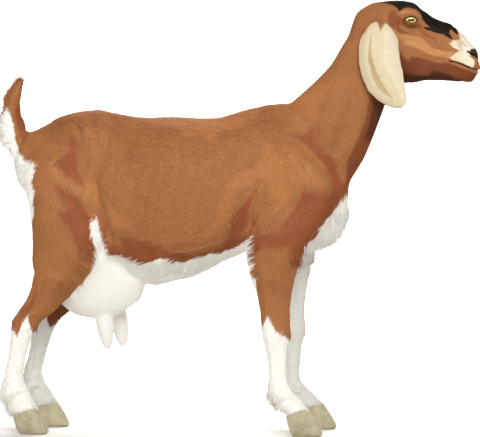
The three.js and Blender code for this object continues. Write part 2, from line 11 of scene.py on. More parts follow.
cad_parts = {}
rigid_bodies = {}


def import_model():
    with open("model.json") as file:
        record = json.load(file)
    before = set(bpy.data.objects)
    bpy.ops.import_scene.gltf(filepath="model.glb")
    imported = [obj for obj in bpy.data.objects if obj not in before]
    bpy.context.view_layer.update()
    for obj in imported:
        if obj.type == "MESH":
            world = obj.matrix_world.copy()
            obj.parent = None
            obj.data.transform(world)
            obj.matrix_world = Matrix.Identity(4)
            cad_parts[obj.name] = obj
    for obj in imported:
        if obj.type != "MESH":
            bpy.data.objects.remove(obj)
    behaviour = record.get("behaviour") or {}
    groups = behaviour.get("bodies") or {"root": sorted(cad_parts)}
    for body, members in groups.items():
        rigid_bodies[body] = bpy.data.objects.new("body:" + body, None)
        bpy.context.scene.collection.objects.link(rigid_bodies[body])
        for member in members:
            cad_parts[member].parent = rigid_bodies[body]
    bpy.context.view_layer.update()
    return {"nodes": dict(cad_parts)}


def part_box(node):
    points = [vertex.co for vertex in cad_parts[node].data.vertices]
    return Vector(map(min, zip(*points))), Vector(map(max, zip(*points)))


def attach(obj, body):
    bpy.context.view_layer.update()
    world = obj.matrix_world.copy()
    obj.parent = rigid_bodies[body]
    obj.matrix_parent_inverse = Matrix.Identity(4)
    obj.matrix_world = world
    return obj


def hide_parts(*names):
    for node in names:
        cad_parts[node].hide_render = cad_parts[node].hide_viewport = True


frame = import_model()
started = time.time()


def stage(words):
    print(f"{time.time() - started:6.1f} s  {words}", flush=True)


# Places are in millimetres from here on: x towards the head, y to the animal's left, z up. They are
# counted from the point that the part was drawn about, a little off the frame's origin along x.
# A line or outline is in side view, as x and z.
drawnEye = np.array((420, 47.5, 998.0))  # the left eye's middle
eyeLow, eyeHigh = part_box("eye_left")
origin = np.round((np.array(eyeLow) + np.array(eyeHigh)) * 500 - drawnEye, 3) * (1, 0, 0)


def linear(hexColour):
    # sRGB hex to linear red, green and blue
    parts = np.array([int(hexColour[k:k + 2], 16) for k in (0, 2, 4)]) / 255
    return np.where(parts <= 0.04045, parts / 12.92, ((parts + 0.055) / 1.055) ** 2.4)


def ramp(value, low, high):
    # smooth step from 0 to 1
    t = np.clip((value - low) / (high - low), 0, 1)
    return t * t * (3 - 2 * t)


lattice = np.random.default_rng(11).random((32, 32, 32)) * 2 - 1  # for the noise below


def noise(points, size):
    # smooth noise from -1 to 1 whose bumps are about size apart
    q = points / size
    cell = np.floor(q).astype(np.int64)
    f = q - cell
    f = f * f * (3 - 2 * f)
    total = np.zeros(len(points))
    for corner in range(8):
        step = np.array([corner & 1, (corner >> 1) & 1, corner >> 2])
        share = np.prod(np.where(step == 1, f, 1 - f), axis=1)
        i, j, k = ((cell + step) % 32).T
        total += share * lattice[i, j, k]
    return total


def nearLine(x, z, line):
    # distance to a line, and how far along it from 0 to 1
    best, along = np.full(x.shape, 1e9), np.zeros(x.shape)
    spans = [math.dist(a, b) for a, b in zip(line, line[1:])]
    total, done = sum(spans), 0.0
    for (x0, z0), (x1, z1), span in zip(line, line[1:], spans):
        dx, dz = x1 - x0, z1 - z0
        t = np.clip(((x - x0) * dx + (z - z0) * dz) / (span * span), 0, 1)
        d = np.hypot(x - x0 - t * dx, z - z0 - t * dz)
        closer = d < best
        best[closer], along[closer] = d[closer], ((done + t * span) / total)[closer]
        done += span
    return best, along


def nearPath(points, path):
    # the same for a path in space
    best, along = np.full(len(points), 1e9), np.zeros(len(points))
    for k, (a, b) in enumerate(zip(path, path[1:])):
        t = np.clip((points - a) @ (b - a) / ((b - a) @ (b - a)), 0, 1)
        d = np.linalg.norm(points - a - t[:, None] * (b - a), axis=1)
        closer = d < best
        best[closer], along[closer] = d[closer], ((k + t) / (len(path) - 1))[closer]
    return best, along


def inside(x, z, outline):
    odd = np.zeros(x.shape, bool)
    for (x0, z0), (x1, z1) in zip(outline, outline[1:] + outline[:1]):
        if z0 == z1:
            continue
        crosses = (z0 > z) != (z1 > z)
        odd ^= crosses & (x < x0 + (z - z0) * (x1 - x0) / (z1 - z0))
    return odd


def unit(vectors):
    return vectors / np.maximum(np.linalg.norm(vectors, axis=1, keepdims=True), 1e-9)


def readPoints(mesh):
    flat = np.empty(len(mesh.vertices) * 3, np.float32)
    mesh.vertices.foreach_get("co", flat)
    return flat.reshape(-1, 3).astype(float) * 1000 - origin


def inMetres(points):
    return (np.asarray(points) + origin) / 1000


def writePoints(mesh, points):
    mesh.vertices.foreach_set("co", inMetres(points).astype(np.float32).ravel())
    mesh.update()


def readNormals(mesh):
    # at each point, the mean of its faces' normals, larger faces counting more
    points = readPoints(mesh)
    mesh.calc_loop_triangles()
    corners = np.empty(len(mesh.loop_triangles) * 3, np.int32)
    mesh.loop_triangles.foreach_get("vertices", corners)
    corners = corners.reshape(-1, 3)
    a, b, c = (points[corners[:, k]] for k in range(3))
    facing = np.repeat(np.cross(b - a, c - a), 3, axis=0)
    total = np.column_stack([np.bincount(corners.ravel(), facing[:, k], len(points)) for k in range(3)])
    return total / np.maximum(np.linalg.norm(total, axis=1), 1e-12)[:, None]


def deselectAll():
    for each in bpy.context.selected_objects:
        each.select_set(False)


def makeActive(piece):
    deselectAll()
    piece.select_set(True)
    bpy.context.view_layer.objects.active = piece


def newPiece(name, mesh):
    piece = bpy.data.objects.new(name, mesh)
    bpy.context.scene.collection.objects.link(piece)
    return piece


def copyOfNodes(name, nodes):
    # one new object from copies of CAD nodes, their loose triangles merged
    copies = [newPiece(name, frame["nodes"][node].data.copy()) for node in nodes]
    deselectAll()
    for each in copies:
        each.data.materials.clear()
        each.select_set(True)
    bpy.context.view_layer.objects.active = copies[0]
    if len(copies) > 1:
        bpy.ops.object.join()
    joined = copies[0]
    bpy.ops.object.mode_set(mode="EDIT")
    bpy.ops.mesh.select_all(action="SELECT")
    bpy.ops.mesh.remove_doubles(threshold=1e-5)
    bpy.ops.object.mode_set(mode="OBJECT")
    return joined


def remeshed(piece, voxel):
    makeActive(piece)
    piece.data.remesh_voxel_size = voxel
    piece.data.remesh_voxel_adaptivity = 0
    bpy.ops.object.voxel_remesh()


def keepOuterShell(piece):
    # drops bubbles left inside by remeshing
    makeActive(piece)
    chosen = np.zeros(len(piece.data.vertices), bool)
    chosen[np.argmax(readPoints(piece.data)[:, 2])] = True
    bpy.ops.object.mode_set(mode="EDIT")
    bpy.ops.mesh.select_mode(type="VERT")
    bpy.ops.mesh.select_all(action="DESELECT")
    bpy.ops.object.mode_set(mode="OBJECT")
    piece.data.vertices.foreach_set("select", chosen)
    bpy.ops.object.mode_set(mode="EDIT")
    bpy.ops.mesh.select_linked()
    bpy.ops.mesh.select_all(action="INVERT")
    bpy.ops.mesh.delete(type="VERT")
    bpy.ops.object.mode_set(mode="OBJECT")


def relaxed(piece, repeats):
    # where the Smooth modifier puts the points
    relax = piece.modifiers.new("relax", "SMOOTH")
    relax.factor, relax.iterations = 0.5, repeats
    found = piece.evaluated_get(bpy.context.evaluated_depsgraph_get())
    points = readPoints(found.data)
    piece.modifiers.remove(relax)
    return points


def smooth(piece, repeats, share=1.0):
    # evens out facets but keeps the volume: what one pass takes from broad shapes, the second gives back
    before = readPoints(piece.data)
    once = relaxed(piece, repeats)
    writePoints(piece.data, once)
    twice = relaxed(piece, repeats)
    share = np.broadcast_to(share, len(before))[:, None]
    writePoints(piece.data, before + share * (2 * once - twice - before))


# Landmarks on the animal.

landmarks = {
    "foreStep": 18, "hindStep": 15,  # the left legs stand this much ahead
    "eyeRadius": 17,
    "eyeAxis": (0.10, 0.99, 0.04),  # which way an eye looks, on the left side
    "napeAxis": (0.923, 0.385), "nape": 345 * 0.923 + 935 * 0.385,  # the plane between neck and head
    # A hanging ear's edges: heights, and x at each.
    "earFront": ((780, 980), (425, 405)),
    "earBack": ((780, 830, 870, 960, 1000), (335, 312, 280, 272, 300)),
    # One half of the udder's bag: middle, half its length, width and height, and its tilt.
    "bag": (-340, 38, 371), "bagHalf": (114, 54, 96), "bagTilt": 0.14,
}
eyeCentres = {s: drawnEye * (1, s, 1) for s in (-1, 1)}


def squared(points):
    # x as if the left legs stood level with the right ones
    x, y, z = points.T
    step = np.where(x > -200, landmarks["foreStep"], landmarks["hindStep"])
    return x - np.where(y > 0, step * ramp(560 - z, 0, 170), 0)


def earShare(points):
    # 1 on the hanging part of an ear, 0 off it
    x, y, z = points.T
    front = np.interp(z, *landmarks["earFront"])
    back = np.interp(z, *landmarks["earBack"])
    share = ramp(np.abs(y), 53, 59) * ramp(z, 770, 790) * (1 - ramp(z, 985, 1008))
    share *= ramp(np.hypot(x - drawnEye[0], z - drawnEye[2]), 27, 33)
    return share * (1 - ramp(x, front, front + 8)) * ramp(x, back - 6, back + 2)


def headShare(points):
    # 1 ahead of the nape
    x, y, z = points.T
    across = x * landmarks["napeAxis"][0] + z * landmarks["napeAxis"][1]
    return ramp(across, landmarks["nape"] - 14, landmarks["nape"] + 14) * ramp(z, 830, 850)


# The coat's lie: x, z, direction along x and z, length, depth of the coat.

lie = [
    (575, 905, -0.8, 0.6, 3.0, 0.6), (560, 930, -0.85, 0.5, 3.2, 0.7), (545, 880, -1, 0.1, 3.2, 0.7),
    (520, 960, -0.9, 0.4, 4.0, 0.9), (490, 920, -1, -0.1, 4.5, 1.0), (470, 990, -0.9, 0.45, 4.5, 1.0),
    (470, 880, -1, -0.1, 5.5, 1.4), (430, 940, -0.95, -0.35, 5.5, 1.3), (420, 880, -0.9, -0.4, 6.5, 1.6),
    (440, 1035, -0.9, 0.4, 5.0, 1.2), (400, 1045, -1, 0.1, 6.0, 1.4), (380, 960, -0.8, -0.6, 6.0, 1.4),
    (340, 1030, -0.8, -0.6, 8.0, 2.0), (380, 880, -0.7, -0.7, 8.0, 1.8), (310, 960, -0.5, -0.87, 10, 2.6),
    (270, 880, -0.5, -0.87, 12, 3.2), (330, 860, -0.35, -0.94, 11, 3.0), (220, 800, -0.7, -0.7, 13, 3.6),
    (280, 740, -0.3, -0.95, 12, 3.4), (180, 720, -0.6, -0.8, 13, 3.8), (250, 620, -0.25, -0.97, 13, 3.8),
    (120, 780, -0.95, -0.3, 14, 4.0), (120, 640, -0.6, -0.8, 13, 3.8), (200, 520, -0.35, -0.94, 14, 4.0),
    (100, 500, -0.45, -0.9, 12, 3.4), (0, 740, -0.95, -0.3, 15, 4.2), (0, 600, -0.85, -0.5, 14, 4.0),
    (0, 470, -0.9, -0.4, 14, 4.0), (-120, 740, -1, -0.25, 15, 4.2), (-120, 580, -0.9, -0.42, 15, 4.2),
    (-120, 430, -0.98, -0.2, 15, 4.2), (-250, 740, -1, -0.25, 15, 4.2), (-250, 580, -0.88, -0.47, 15, 4.2),
    (-250, 430, -0.9, -0.4, 12, 3.4), (-330, 500, -0.5, -0.85, 14, 4.0), (-400, 740, -0.95, -0.35, 14, 4.0),
    (-400, 600, -0.5, -0.87, 14, 4.0), (-480, 700, -0.7, -0.7, 13, 3.8), (-480, 560, -0.25, -0.97, 13, 3.8),
    (-400, 450, -0.3, -0.95, 13, 3.6), (-430, 380, -0.35, -0.93, 11, 3.0),
    (-470, 320, -0.4, -0.9, 9.5, 2.4),
    (-510, 260, -0.2, -0.98, 8.5, 2.0), (-530, 180, 0, -1, 8.0, 1.8), (-535, 110, 0.1, -1, 8.5, 2.0),
    (-510, 70, 0.3, -0.95, 8.0, 1.8), (95, 420, -0.2, -0.98, 10.5, 2.8), (95, 340, -0.05, -1, 9.5, 2.4),
    (98, 250, 0, -1, 8.5, 2.0), (102, 170, 0, -1, 8.0, 1.8), (112, 105, 0.15, -1, 8.5, 2.0),
    (145, 65, 0.4, -0.9, 8.0, 1.8), (-530, 720, -0.35, 0.94, 13, 3.2), (-560, 780, -0.1, 1, 13, 3.0),
    (-545, 840, 0.4, 0.9, 12, 2.0),
]


def layOf(points):
    # direction, length and depth of the coat at each point, blended from the list above
    x, z = squared(points), points[:, 2]
    total = np.zeros(len(points))
    found = np.zeros((len(points), 4))
    for x0, z0, dx, dz, length, depth in lie:
        share = 1 / ((x - x0) ** 2 + (z - z0) ** 2 + 900) ** 2
        total += share
        found += share[:, None] * np.array((dx, dz, length, depth))
    found /= total[:, None]
    ear = earShare(points)[:, None]
    tip = ramp(860 - z, 0, 60)[:, None]
    onEar = np.hstack([0.1 + 0.45 * tip, -1 + 0.1 * tip, 5.5 + 0 * tip, 0.7 + 0 * tip])
    found = found * (1 - ear) + onEar * ear
    under = udderShare(points)[:, None]
    found[:, 2:3] *= 1 - 0.5 * under
    found[:, 3:4] *= 1 - 0.7 * under
    sway = 0.12 * np.sign(points[:, 1]) * ramp(z, 700, 760)
    flow = np.column_stack([found[:, 0], sway, found[:, 1]])
    return flow, found[:, 2], found[:, 3]


def udderShare(points):
    # 1 on the udder and teats
    x, y, z = points.T
    c, s = math.cos(landmarks["bagTilt"]), math.sin(landmarks["bagTilt"])
    middle, half = landmarks["bag"], landmarks["bagHalf"]
    dx, dz, dy = x - middle[0], z - middle[2], np.abs(y) - middle[1]
    u, w = c * dx + s * dz, c * dz - s * dx
    bag = np.sqrt((u / half[0]) ** 2 + (np.where(dy > 0, dy, 0) / half[1]) ** 2 + (w / half[2]) ** 2)
    share = (1 - ramp(bag, 1.03, 1.10)) * (1 - ramp(z, 425, 455))
    return np.maximum(share, (z < 300) & (x > -400) & (x < -240))  # the teats


# Markings: the hair's colours, and where each begins and ends, with painted shade and painted highlights
# laid over them.

# tan, gold and ochre are painted highlights; rust, chestnut and umber are painted shade
hair = {
    "brown": "ab7044", "tanHighlight": "b87a49", "goldHighlight": "c48655", "ochreHighlight": "c88e5c", "rustShade": "985432",
    "chestnutShade": "864a2c", "umberShade": "57311e", "black": "20170d", "white": "faf7f0", "cream": "e5d4b2",
    # foldShadeCream and crease are painted shade in the ear's fold and in the muzzle's crease
    "paleCream": "ecdfc0", "foldShadeCream": "c7ae80", "muzzleCream": "ebe3cd", "crease": "b5b196",
    "nose": "3a2c20", "pink": "d3a08c", "udder": "d8d4cc",
    # lips and nostril are painted shade in the mouth's groove and inside the nostrils; eyeRim is the lids'
    # own dark rim
    "eyeRim": "1a100a", "lips": "1a0f0a", "nostrilShade": "0d0705",
}
hair = {name: linear(code) for name, code in hair.items()}

bellyLine = [(-345, 520), (-330, 530), (-323, 500), (-316, 478), (-299, 438), (-259, 431), (-211, 414),
             (-168, 429), (-120, 417), (-82, 431), (-44, 441), (4, 453), (46, 480)]
rumpLine = [(460, -492), (490, -491), (555, -484), (591, -484), (617, -493), (645, -484), (658, -481),
            (664, -498), (668, -514), (680, -522), (695, -537), (711, -544), (740, -547), (764, -553),
            (772, -559), (785, -580)]
chestLine = [(440, 158), (448, 161), (457, 170), (479, 195), (503, 207), (523, 221), (542, 233), (566, 245),
             (586, 265)]
foreSock = [(50, 250), (64, 255), (73, 279), (80, 294), (88, 279), (100, 257), (116, 245), (133, 236),
            (150, 236)]
hindSock = [(-560, 257), (-539, 257), (-530, 248), (-526, 238), (-521, 253), (-513, 272), (-500, 290),
            (-496, 267), (-488, 244), (-470, 244)]
blaze = [(352, 1045), (365, 1042), (376, 1037), (386, 1033), (392, 1025), (396, 1020), (408, 1028),
         (420, 1029), (436, 1023), (446, 1013), (449, 1001), (457, 991), (469, 981), (458, 983), (451, 981),
         (462, 975), (478, 970), (499, 965), (515, 954), (524, 952), (514, 969), (518, 977), (526, 969),
         (535, 963), (533, 976), (560, 1010), (480, 1100), (352, 1100)]
muzzle = [(534, 977), (539, 959), (539, 951), (523, 950), (514, 942), (523, 933), (539, 925), (527, 919),
          (517, 909), (519, 905), (543, 897), (570, 884), (574, 892), (574, 902), (563, 912), (562, 926),
          (570, 929), (585, 930), (612, 931), (600, 1000), (534, 990)]
# where painted shade falls in the muzzle's crease
muzzleCreaseShade = [(535, 950), (543, 952), (559, 933), (545, 939), (541, 931), (547, 923), (539, 927),
                (535, 937)]
nosePad = [(561, 920), (564, 930), (577, 932), (600, 930), (600, 905), (581, 906), (571, 912)]
earWedge = [(310, 1040), (318, 1013), (331, 1010), (339, 1003), (349, 977), (357, 990), (366, 1001),
            (380, 1040)]
# where painted shade falls in the ear's fold
earFoldShade = [(327, 976), (322, 940), (318, 904), (327, 868), (343, 836), (361, 819), (383, 805), (366, 829),
           (350, 853), (334, 889), (325, 923)]

# Painted shade and painted highlights over the muscles, the belly's edge, the throat, the jaw and around
# the eye: colour, strength, how far the edge fades, outline.
paintedShadeAndHighlights = [
    ("tanHighlight", 0.9, 9, [(-357, 770), (-344, 733), (-330, 685), (-316, 637), (-296, 596), (-248, 548),
     (-232, 500), (-282, 505), (-297, 494), (-301, 524), (-330, 562), (-357, 589), (-345, 660)]),
    ("tanHighlight", 0.9, 9, [(74, 718), (104, 704), (165, 692), (203, 658), (220, 613), (207, 600), (172, 617),
     (148, 586), (100, 538), (92, 579), (83, 617), (62, 564), (68, 624), (11, 589), (0, 625), (52, 648),
     (74, 682)]),
    ("tanHighlight", 0.9, 10, [(-234, 763), (-123, 739), (-116, 712), (-71, 725), (-58, 710), (-23, 731), (18, 744),
     (63, 775), (70, 810), (-54, 790), (-234, 790)]),
    ("tanHighlight", 0.8, 10, [(67, 650), (20, 600), (0, 555), (-29, 504), (-60, 466), (-87, 470), (-39, 516),
     (-30, 560), (-1, 620)]),
    ("tanHighlight", 0.8, 12, [(114, 810), (160, 840), (229, 850), (201, 794), (198, 744), (187, 766), (160, 787)]),
    ("goldHighlight", 0.8, 5, [(77, 717), (131, 680), (152, 685), (183, 658), (213, 634), (220, 603), (196, 620),
     (169, 665), (141, 668)]),
    ("goldHighlight", 0.85, 6, [(-452, 663), (-430, 671), (-420, 644), (-391, 617), (-358, 589), (-341, 560),
     (-372, 579), (-435, 632)]),
    ("rustShade", 0.9, 7, [(-388, 729), (-404, 683), (-434, 659), (-398, 627), (-362, 601), (-378, 650),
     (-384, 714)]),
    ("rustShade", 0.9, 8, [(-433, 610), (-400, 545), (-428, 546), (-405, 519), (-383, 485), (-371, 441),
     (-350, 462), (-343, 509), (-352, 545), (-380, 580)]),
    ("rustShade", 0.9, 5, [(-533, 817), (-531, 778), (-516, 750), (-508, 720), (-523, 703), (-540, 740),
     (-545, 778)]),
    ("rustShade", 0.8, 5, [(-471, 382), (-492, 324), (-512, 307), (-524, 276), (-497, 295), (-481, 324)]),
    ("rustShade", 0.9, 7, [(182, 749), (173, 729), (133, 727), (182, 696), (221, 654), (230, 613), (230, 583),
     (197, 594), (168, 593), (147, 548), (106, 496), (68, 488), (51, 503), (64, 542), (39, 507), (44, 455),
     (54, 441), (75, 465), (108, 454), (135, 465), (140, 418), (156, 424), (171, 458), (206, 489),
     (240, 544), (266, 589), (269, 612), (253, 618), (244, 663), (206, 703), (195, 734)]),
    ("rustShade", 0.9, 6, [(-329, 560), (-317, 511), (-313, 440), (-242, 415), (-116, 405), (0, 430), (42, 475),
     (26, 494), (40, 521), (38, 542), (55, 595), (24, 555), (3, 538), (-9, 487), (-27, 456), (-89, 438),
     (-143, 443), (-188, 468), (-273, 482), (-253, 452), (-297, 467), (-309, 487), (-304, 511)]),
    ("chestnutShade", 0.9, 7, [(264, 606), (271, 669), (290, 707), (304, 740), (318, 780), (330, 860),
     (400, 860), (352, 770), (320, 690), (290, 620)]),
    ("umberShade", 0.85, 7, [(330, 860), (334, 806), (322, 755), (308, 715), (330, 715), (365, 790),
     (400, 860)]),
    ("chestnutShade", 0.8, 4, [(374, 1023), (385, 1024), (394, 1012), (404, 1000), (416, 988), (446, 990),
     (448, 980), (434, 978), (414, 983), (394, 989), (400, 976), (424, 965), (400, 966), (380, 978),
     (368, 992), (366, 1006)]),
    ("ochreHighlight", 1.0, 4, [(378, 980), (394, 970), (438, 960), (448, 956), (478, 932), (497, 926), (525, 923),
     (517, 906), (476, 914), (436, 932), (406, 944), (398, 955), (396, 942), (386, 960)]),
    ("ochreHighlight", 0.7, 3, [(394, 1013), (430, 1014), (441, 1006), (434, 1020), (400, 1021)]),
    ("chestnutShade", 1.0, 4, [(388, 930), (418, 900), (420, 912), (456, 907), (495, 895), (513, 897),
     (557, 880), (578, 872), (600, 840), (380, 840)]),
    ("umberShade", 1.0, 4, [(392, 880), (422, 869), (468, 867), (474, 879), (497, 874), (545, 857), (545, 830),
     (380, 830)]),
    ("rustShade", 0.8, 2.5, [(435, 997), (442, 979), (452, 964), (476, 952), (492, 930), (478, 957), (456, 970),
     (446, 982)]),
]


def shareIn(x, z, outline, fade):
    # 1 well inside an outline and 0 well outside it
    d, _ = nearLine(x, z, outline + outline[:1])
    return ramp(np.where(inside(x, z, outline), d, -d), -fade, fade)


def markingsAndPaintedLight(points, normals):
    # the coat's colour at each point, painted shade and painted highlights included, and how bare the skin
    # is there
    x, (y, z) = squared(points), points.T[1:]
    side = np.sign(y)
    outward = normals[:, 1] * side
    jag = 4.5 * noise(points, 17) + 2.5 * noise(points + 300, 6)
    colour = np.tile(hair["brown"], (len(points), 1))
    patchy = 0.5 + 0.5 * noise(points, 70)
    colour *= (0.93 + 0.12 * patchy + 0.05 * noise(points + 90, 22))[:, None]  # broad and small patches
    ear = earShare(points) > 0.5
    # painted shade and painted highlights over the brown, from the list of tones
    for tone, strength, fade, outline in paintedShadeAndHighlights:
        (lowX, lowZ), (highX, highZ) = np.min(outline, 0) - 2 * fade, np.max(outline, 0) + 2 * fade
        near = np.flatnonzero((x > lowX) & (x < highX) & (z > lowZ) & (z < highZ) & ~ear)
        wave = 0.3 * fade / 5 * jag[near]
        share = strength * shareIn(x[near] + wave, z[near] + wave, outline, 0.6 * fade)
        if lowX < 300:
            share *= ramp(outward[near], -0.2, 0.3)
        colour[near] += share[:, None] * (hair[tone] - colour[near])

    def paint(where, name):
        colour[where] = hair[name]

    head = headShare(points) > 0.5
    body = ~head & ~ear
    lateral = outward > -0.15
    # trunk: belly, between the fore legs, between the thighs, brisket, and under the tail
    under = np.interp(x, *np.array(bellyLine).T) + jag
    paint(body & (x > -345) & (x < 52) & (z < under), "white")
    paint(body & (x > 0) & (x < 215) & (z < 505) & (z > 395) & ((np.abs(y) < 42) | ~lateral), "white")
    paint(body & (x <= -330) & (x > -470) & (z < 500) & ((np.abs(y) < 60) | ~lateral) & (z > 330), "white")
    paint(body & (z > 440) & (z < 586) & (x > np.interp(z, *np.array(chestLine).T) + jag), "white")
    paint(body & (z > 430) & (z < 780) & (x < np.interp(z, *np.array(rumpLine).T) + jag), "white")
    paint(body & (x < -440) & (z > 400) & (z < 640) & (np.abs(y) < 48), "white")
    # legs: stockings with ragged tops, inner sides paler, chestnut painted as shade behind the hind
    # stocking, and the inner sides darkened by painted shade
    fore, hind = body & (x > 20) & (x < 260), body & (x < -400)
    paint(fore & (z < np.interp(x, *np.array(foreSock).T) + 0.7 * jag), "white")
    paint(fore & ~lateral & (z < 470), "white")
    # brown hair on the inner side above the hind stocking, painted darker chestnut as shade
    paint(hind & (outward < 0) & (z < 330), "chestnutShade")
    paint(hind & (z < np.interp(x, *np.array(hindSock).T) + 0.7 * jag), "white")
    paint(hind & (outward < -0.1) & (z < 246 + (x + 496) * 0.78 + jag), "white")
    thin = ramp(-outward, 0, 0.5) * (1 - ramp(z, 400, 450)) * (fore | hind)  # painted shade inside the legs
    colour *= (1 - 0.24 * thin)[:, None]
    udder = udderShare(points) > 0.5
    paint(udder & body, "white")
    # head: blaze, pale muzzle, and painted shade in the crease in it
    wobble = 0.22 * jag
    hx, hz = x + wobble, z + 0.6 * wobble
    paint(head & ~ear & inside(hx, hz, blaze), "black")
    lips = head & ~ear & inside(hx, hz, muzzle)
    paint(lips, "muzzleCream")
    colour[lips] += (1 - ramp(hx, 532, 556))[lips][:, None] * 0.8 * (hair["cream"] - hair["muzzleCream"])
    # painted shade in the muzzle's crease, greyer than the cream
    crease = head & ~ear & inside(x, z, muzzleCreaseShade)
    colour[crease] = 0.4 * colour[crease] + 0.6 * hair["crease"]
    # ears: pale front edge, painted shade in the fold, pink inner side, brown root
    back = outward > 0
    paint(ear, "cream")
    frontEdge = np.interp(z, (800, 860, 900, 980), (405, 375, 357, 357)) + 0.4 * jag
    paint(ear & back & (x > frontEdge), "paleCream")
    # painted shade: the fold is a darker cream
    foldShade = ear & back & inside(x, z, earFoldShade)
    colour[foldShade] = 0.1 * colour[foldShade] + 0.9 * hair["foldShadeCream"]
    colour[ear & ~back] = 0.6 * hair["cream"] + 0.4 * hair["pink"]
    paint(ear & inside(x + 0.4 * jag, z, earWedge) & back, "brown")
    paint(ear & (z > 1003), "brown")
    colour[ear] *= 0.88

    # bare skin: the nose pad, the teats and most of the udder
    bare = np.zeros(len(points))
    pad = head & inside(x, z, nosePad) & ~ear
    paint(pad, "nose")
    bare[pad] = 1
    bare = np.maximum(bare, 0.7 * udder)
    bare[(z < 296) & udder] = 1
    return colour, bare


# Forms under the skin: height, reach, where, line.

strokes = [
    # shoulder and forearm
    (4.5, 15, "outer", [(75, 718), (121, 687), (147, 677), (178, 658), (200, 627), (214, 600)]),
    (-6.0, 14, "outer", [(118, 742), (135, 728), (163, 711), (185, 687), (214, 653), (231, 615),
                         (246, 588)]),
    (-3.0, 12, "outer", [(183, 750), (199, 711), (217, 678)]),
    (-4.0, 14, "outer", [(204, 586), (178, 566), (154, 535), (124, 505), (92, 490)]),
    (5.0, 26, "outer", [(66, 650), (88, 600), (104, 548)]),
    (3.5, 15, "outer", [(56, 470), (62, 452)]),
    (-4.5, 10, "outer", [(54, 594), (40, 555), (38, 520), (46, 486)]),
    (-3.0, 8, "outer", [(68, 543), (52, 507), (56, 472)]),
    (3.0, 14, "outer", [(112, 440), (108, 390), (104, 340)]),
    (-2.5, 9, "outer", [(84, 436), (82, 390), (84, 340)]),
    # barrel
    (-6.5, 34, "outer", [(-330, 705), (-285, 690), (-250, 668)]),
    (3.0, 16, "outer", [(-366, 754), (-347, 699), (-330, 627), (-287, 579), (-239, 531)]),
    (-5.0, 10, "outer", [(-331, 570), (-313, 527), (-305, 491), (-292, 450)]),
    (4.0, 10, "outer", [(-350, 540), (-333, 500), (-325, 460)]),
    (2.0, 4.5, "outer", [(-215, 425), (-150, 436), (-90, 446), (-30, 466), (10, 476)]),
    # hindquarter
    (-5.5, 18, "outer", [(-390, 708), (-396, 670), (-404, 648), (-384, 632)]),
    (5.0, 13, "outer", [(-366, 744), (-376, 738)]),
    (4.5, 14, "outer", [(-454, 658), (-440, 667), (-416, 639), (-384, 605), (-346, 558)]),
    (-6.0, 19, "outer", [(-425, 596), (-400, 570), (-374, 535), (-368, 485)]),
    (4.0, 28, "outer", [(-466, 610), (-466, 530), (-448, 450)]),
    (4.0, 22, "outer", [(-352, 520), (-368, 460), (-400, 400)]),
    (-3.5, 7, "outer", [(-456, 380), (-473, 340), (-495, 305), (-512, 278)]),
    (2.5, 8, "both", [(-506, 262), (-500, 250)]),
    # cannons: a groove between the bone and the tendon
    (-2.2, 4.5, "both", [(94, 214), (95, 175), (97, 135)]),
    (-2.2, 4.5, "both", [(-527, 226), (-535, 185), (-541, 145)]),
    (2.2, 8, "both", [(104, 262), (106, 238)]),
    (2.0, 8, "both", [(119, 98), (122, 90)]),
    (2.0, 8, "both", [(-528, 112), (-524, 100)]),
    # neck
    (-4.5, 13, "outer", [(312, 868), (276, 780), (248, 700), (234, 640)]),
    (3.0, 16, "outer", [(332, 842), (300, 762), (276, 690), (262, 636)]),
    (2.5, 18, "outer", [(250, 860), (216, 790), (186, 735)]),
]
for k in range(7):  # ribs
    strokes.append((0.6, 9, "outer", [(-30 - 34 * k, 680), (-48 - 34 * k, 610), (-74 - 35 * k, 530)]))
mouthLine = [(513, 901), (530, 898), (546, 892), (562, 885), (578, 880), (604, 875)]
headStrokes = [
    (3.0, 8, "outer", [(446, 970), (470, 947), (502, 927)]),  # facial crest
    (-2.4, 5, "outer", [(440, 996), (448, 981), (464, 960), (486, 936), (500, 915)]),  # tear line
    (3.0, 20, "outer", [(404, 934), (418, 908), (440, 896)]),  # cheek
    (-2.6, 7, "outer", [(384, 955), (396, 945), (430, 948), (452, 938)]),
    (-3.0, 9, "outer", [(386, 1006), (382, 980)]),  # temple
    (-2.4, 8, "outer", [(446, 914), (485, 902), (508, 905)]),
    (2.0, 9, "outer", [(408, 880), (450, 872), (500, 870)]),  # edge of the jaw
    (1.6, 9, "outer", [(470, 990), (505, 968), (535, 945)]),  # edge of the nose bone
    (-1.6, 7, "outer", [(500, 950), (525, 935), (545, 922)]),
    (1.8, 6, "outer", [(386, 1016), (404, 1025), (424, 1027), (444, 1016)]),  # brow
    (-1.4, 3, "outer", [(392, 1012), (408, 1019), (426, 1020), (440, 1011)]),
    (1.8, 5, "round", [(519, 908), (546, 900), (562, 893), (578, 888), (604, 884)]),  # upper lip
    (1.4, 5, "round", [(522, 890), (546, 883), (562, 876), (578, 871), (604, 866)]),  # lower lip
    (-1.4, 4, "outer", [(528, 958), (540, 944), (551, 930), (556, 914)]),  # behind the nostril
    (-1.2, 3, "outer", [(506, 911), (510, 901), (507, 890)]),  # corner of the mouth
]
earStrokes = [
    (-1.8, 5, "outer", [(330, 985), (321, 940), (322, 900), (338, 858), (368, 820), (386, 806)]),
    (1.2, 8, "outer", [(345, 980), (343, 930), (349, 880), (372, 830)]),
]


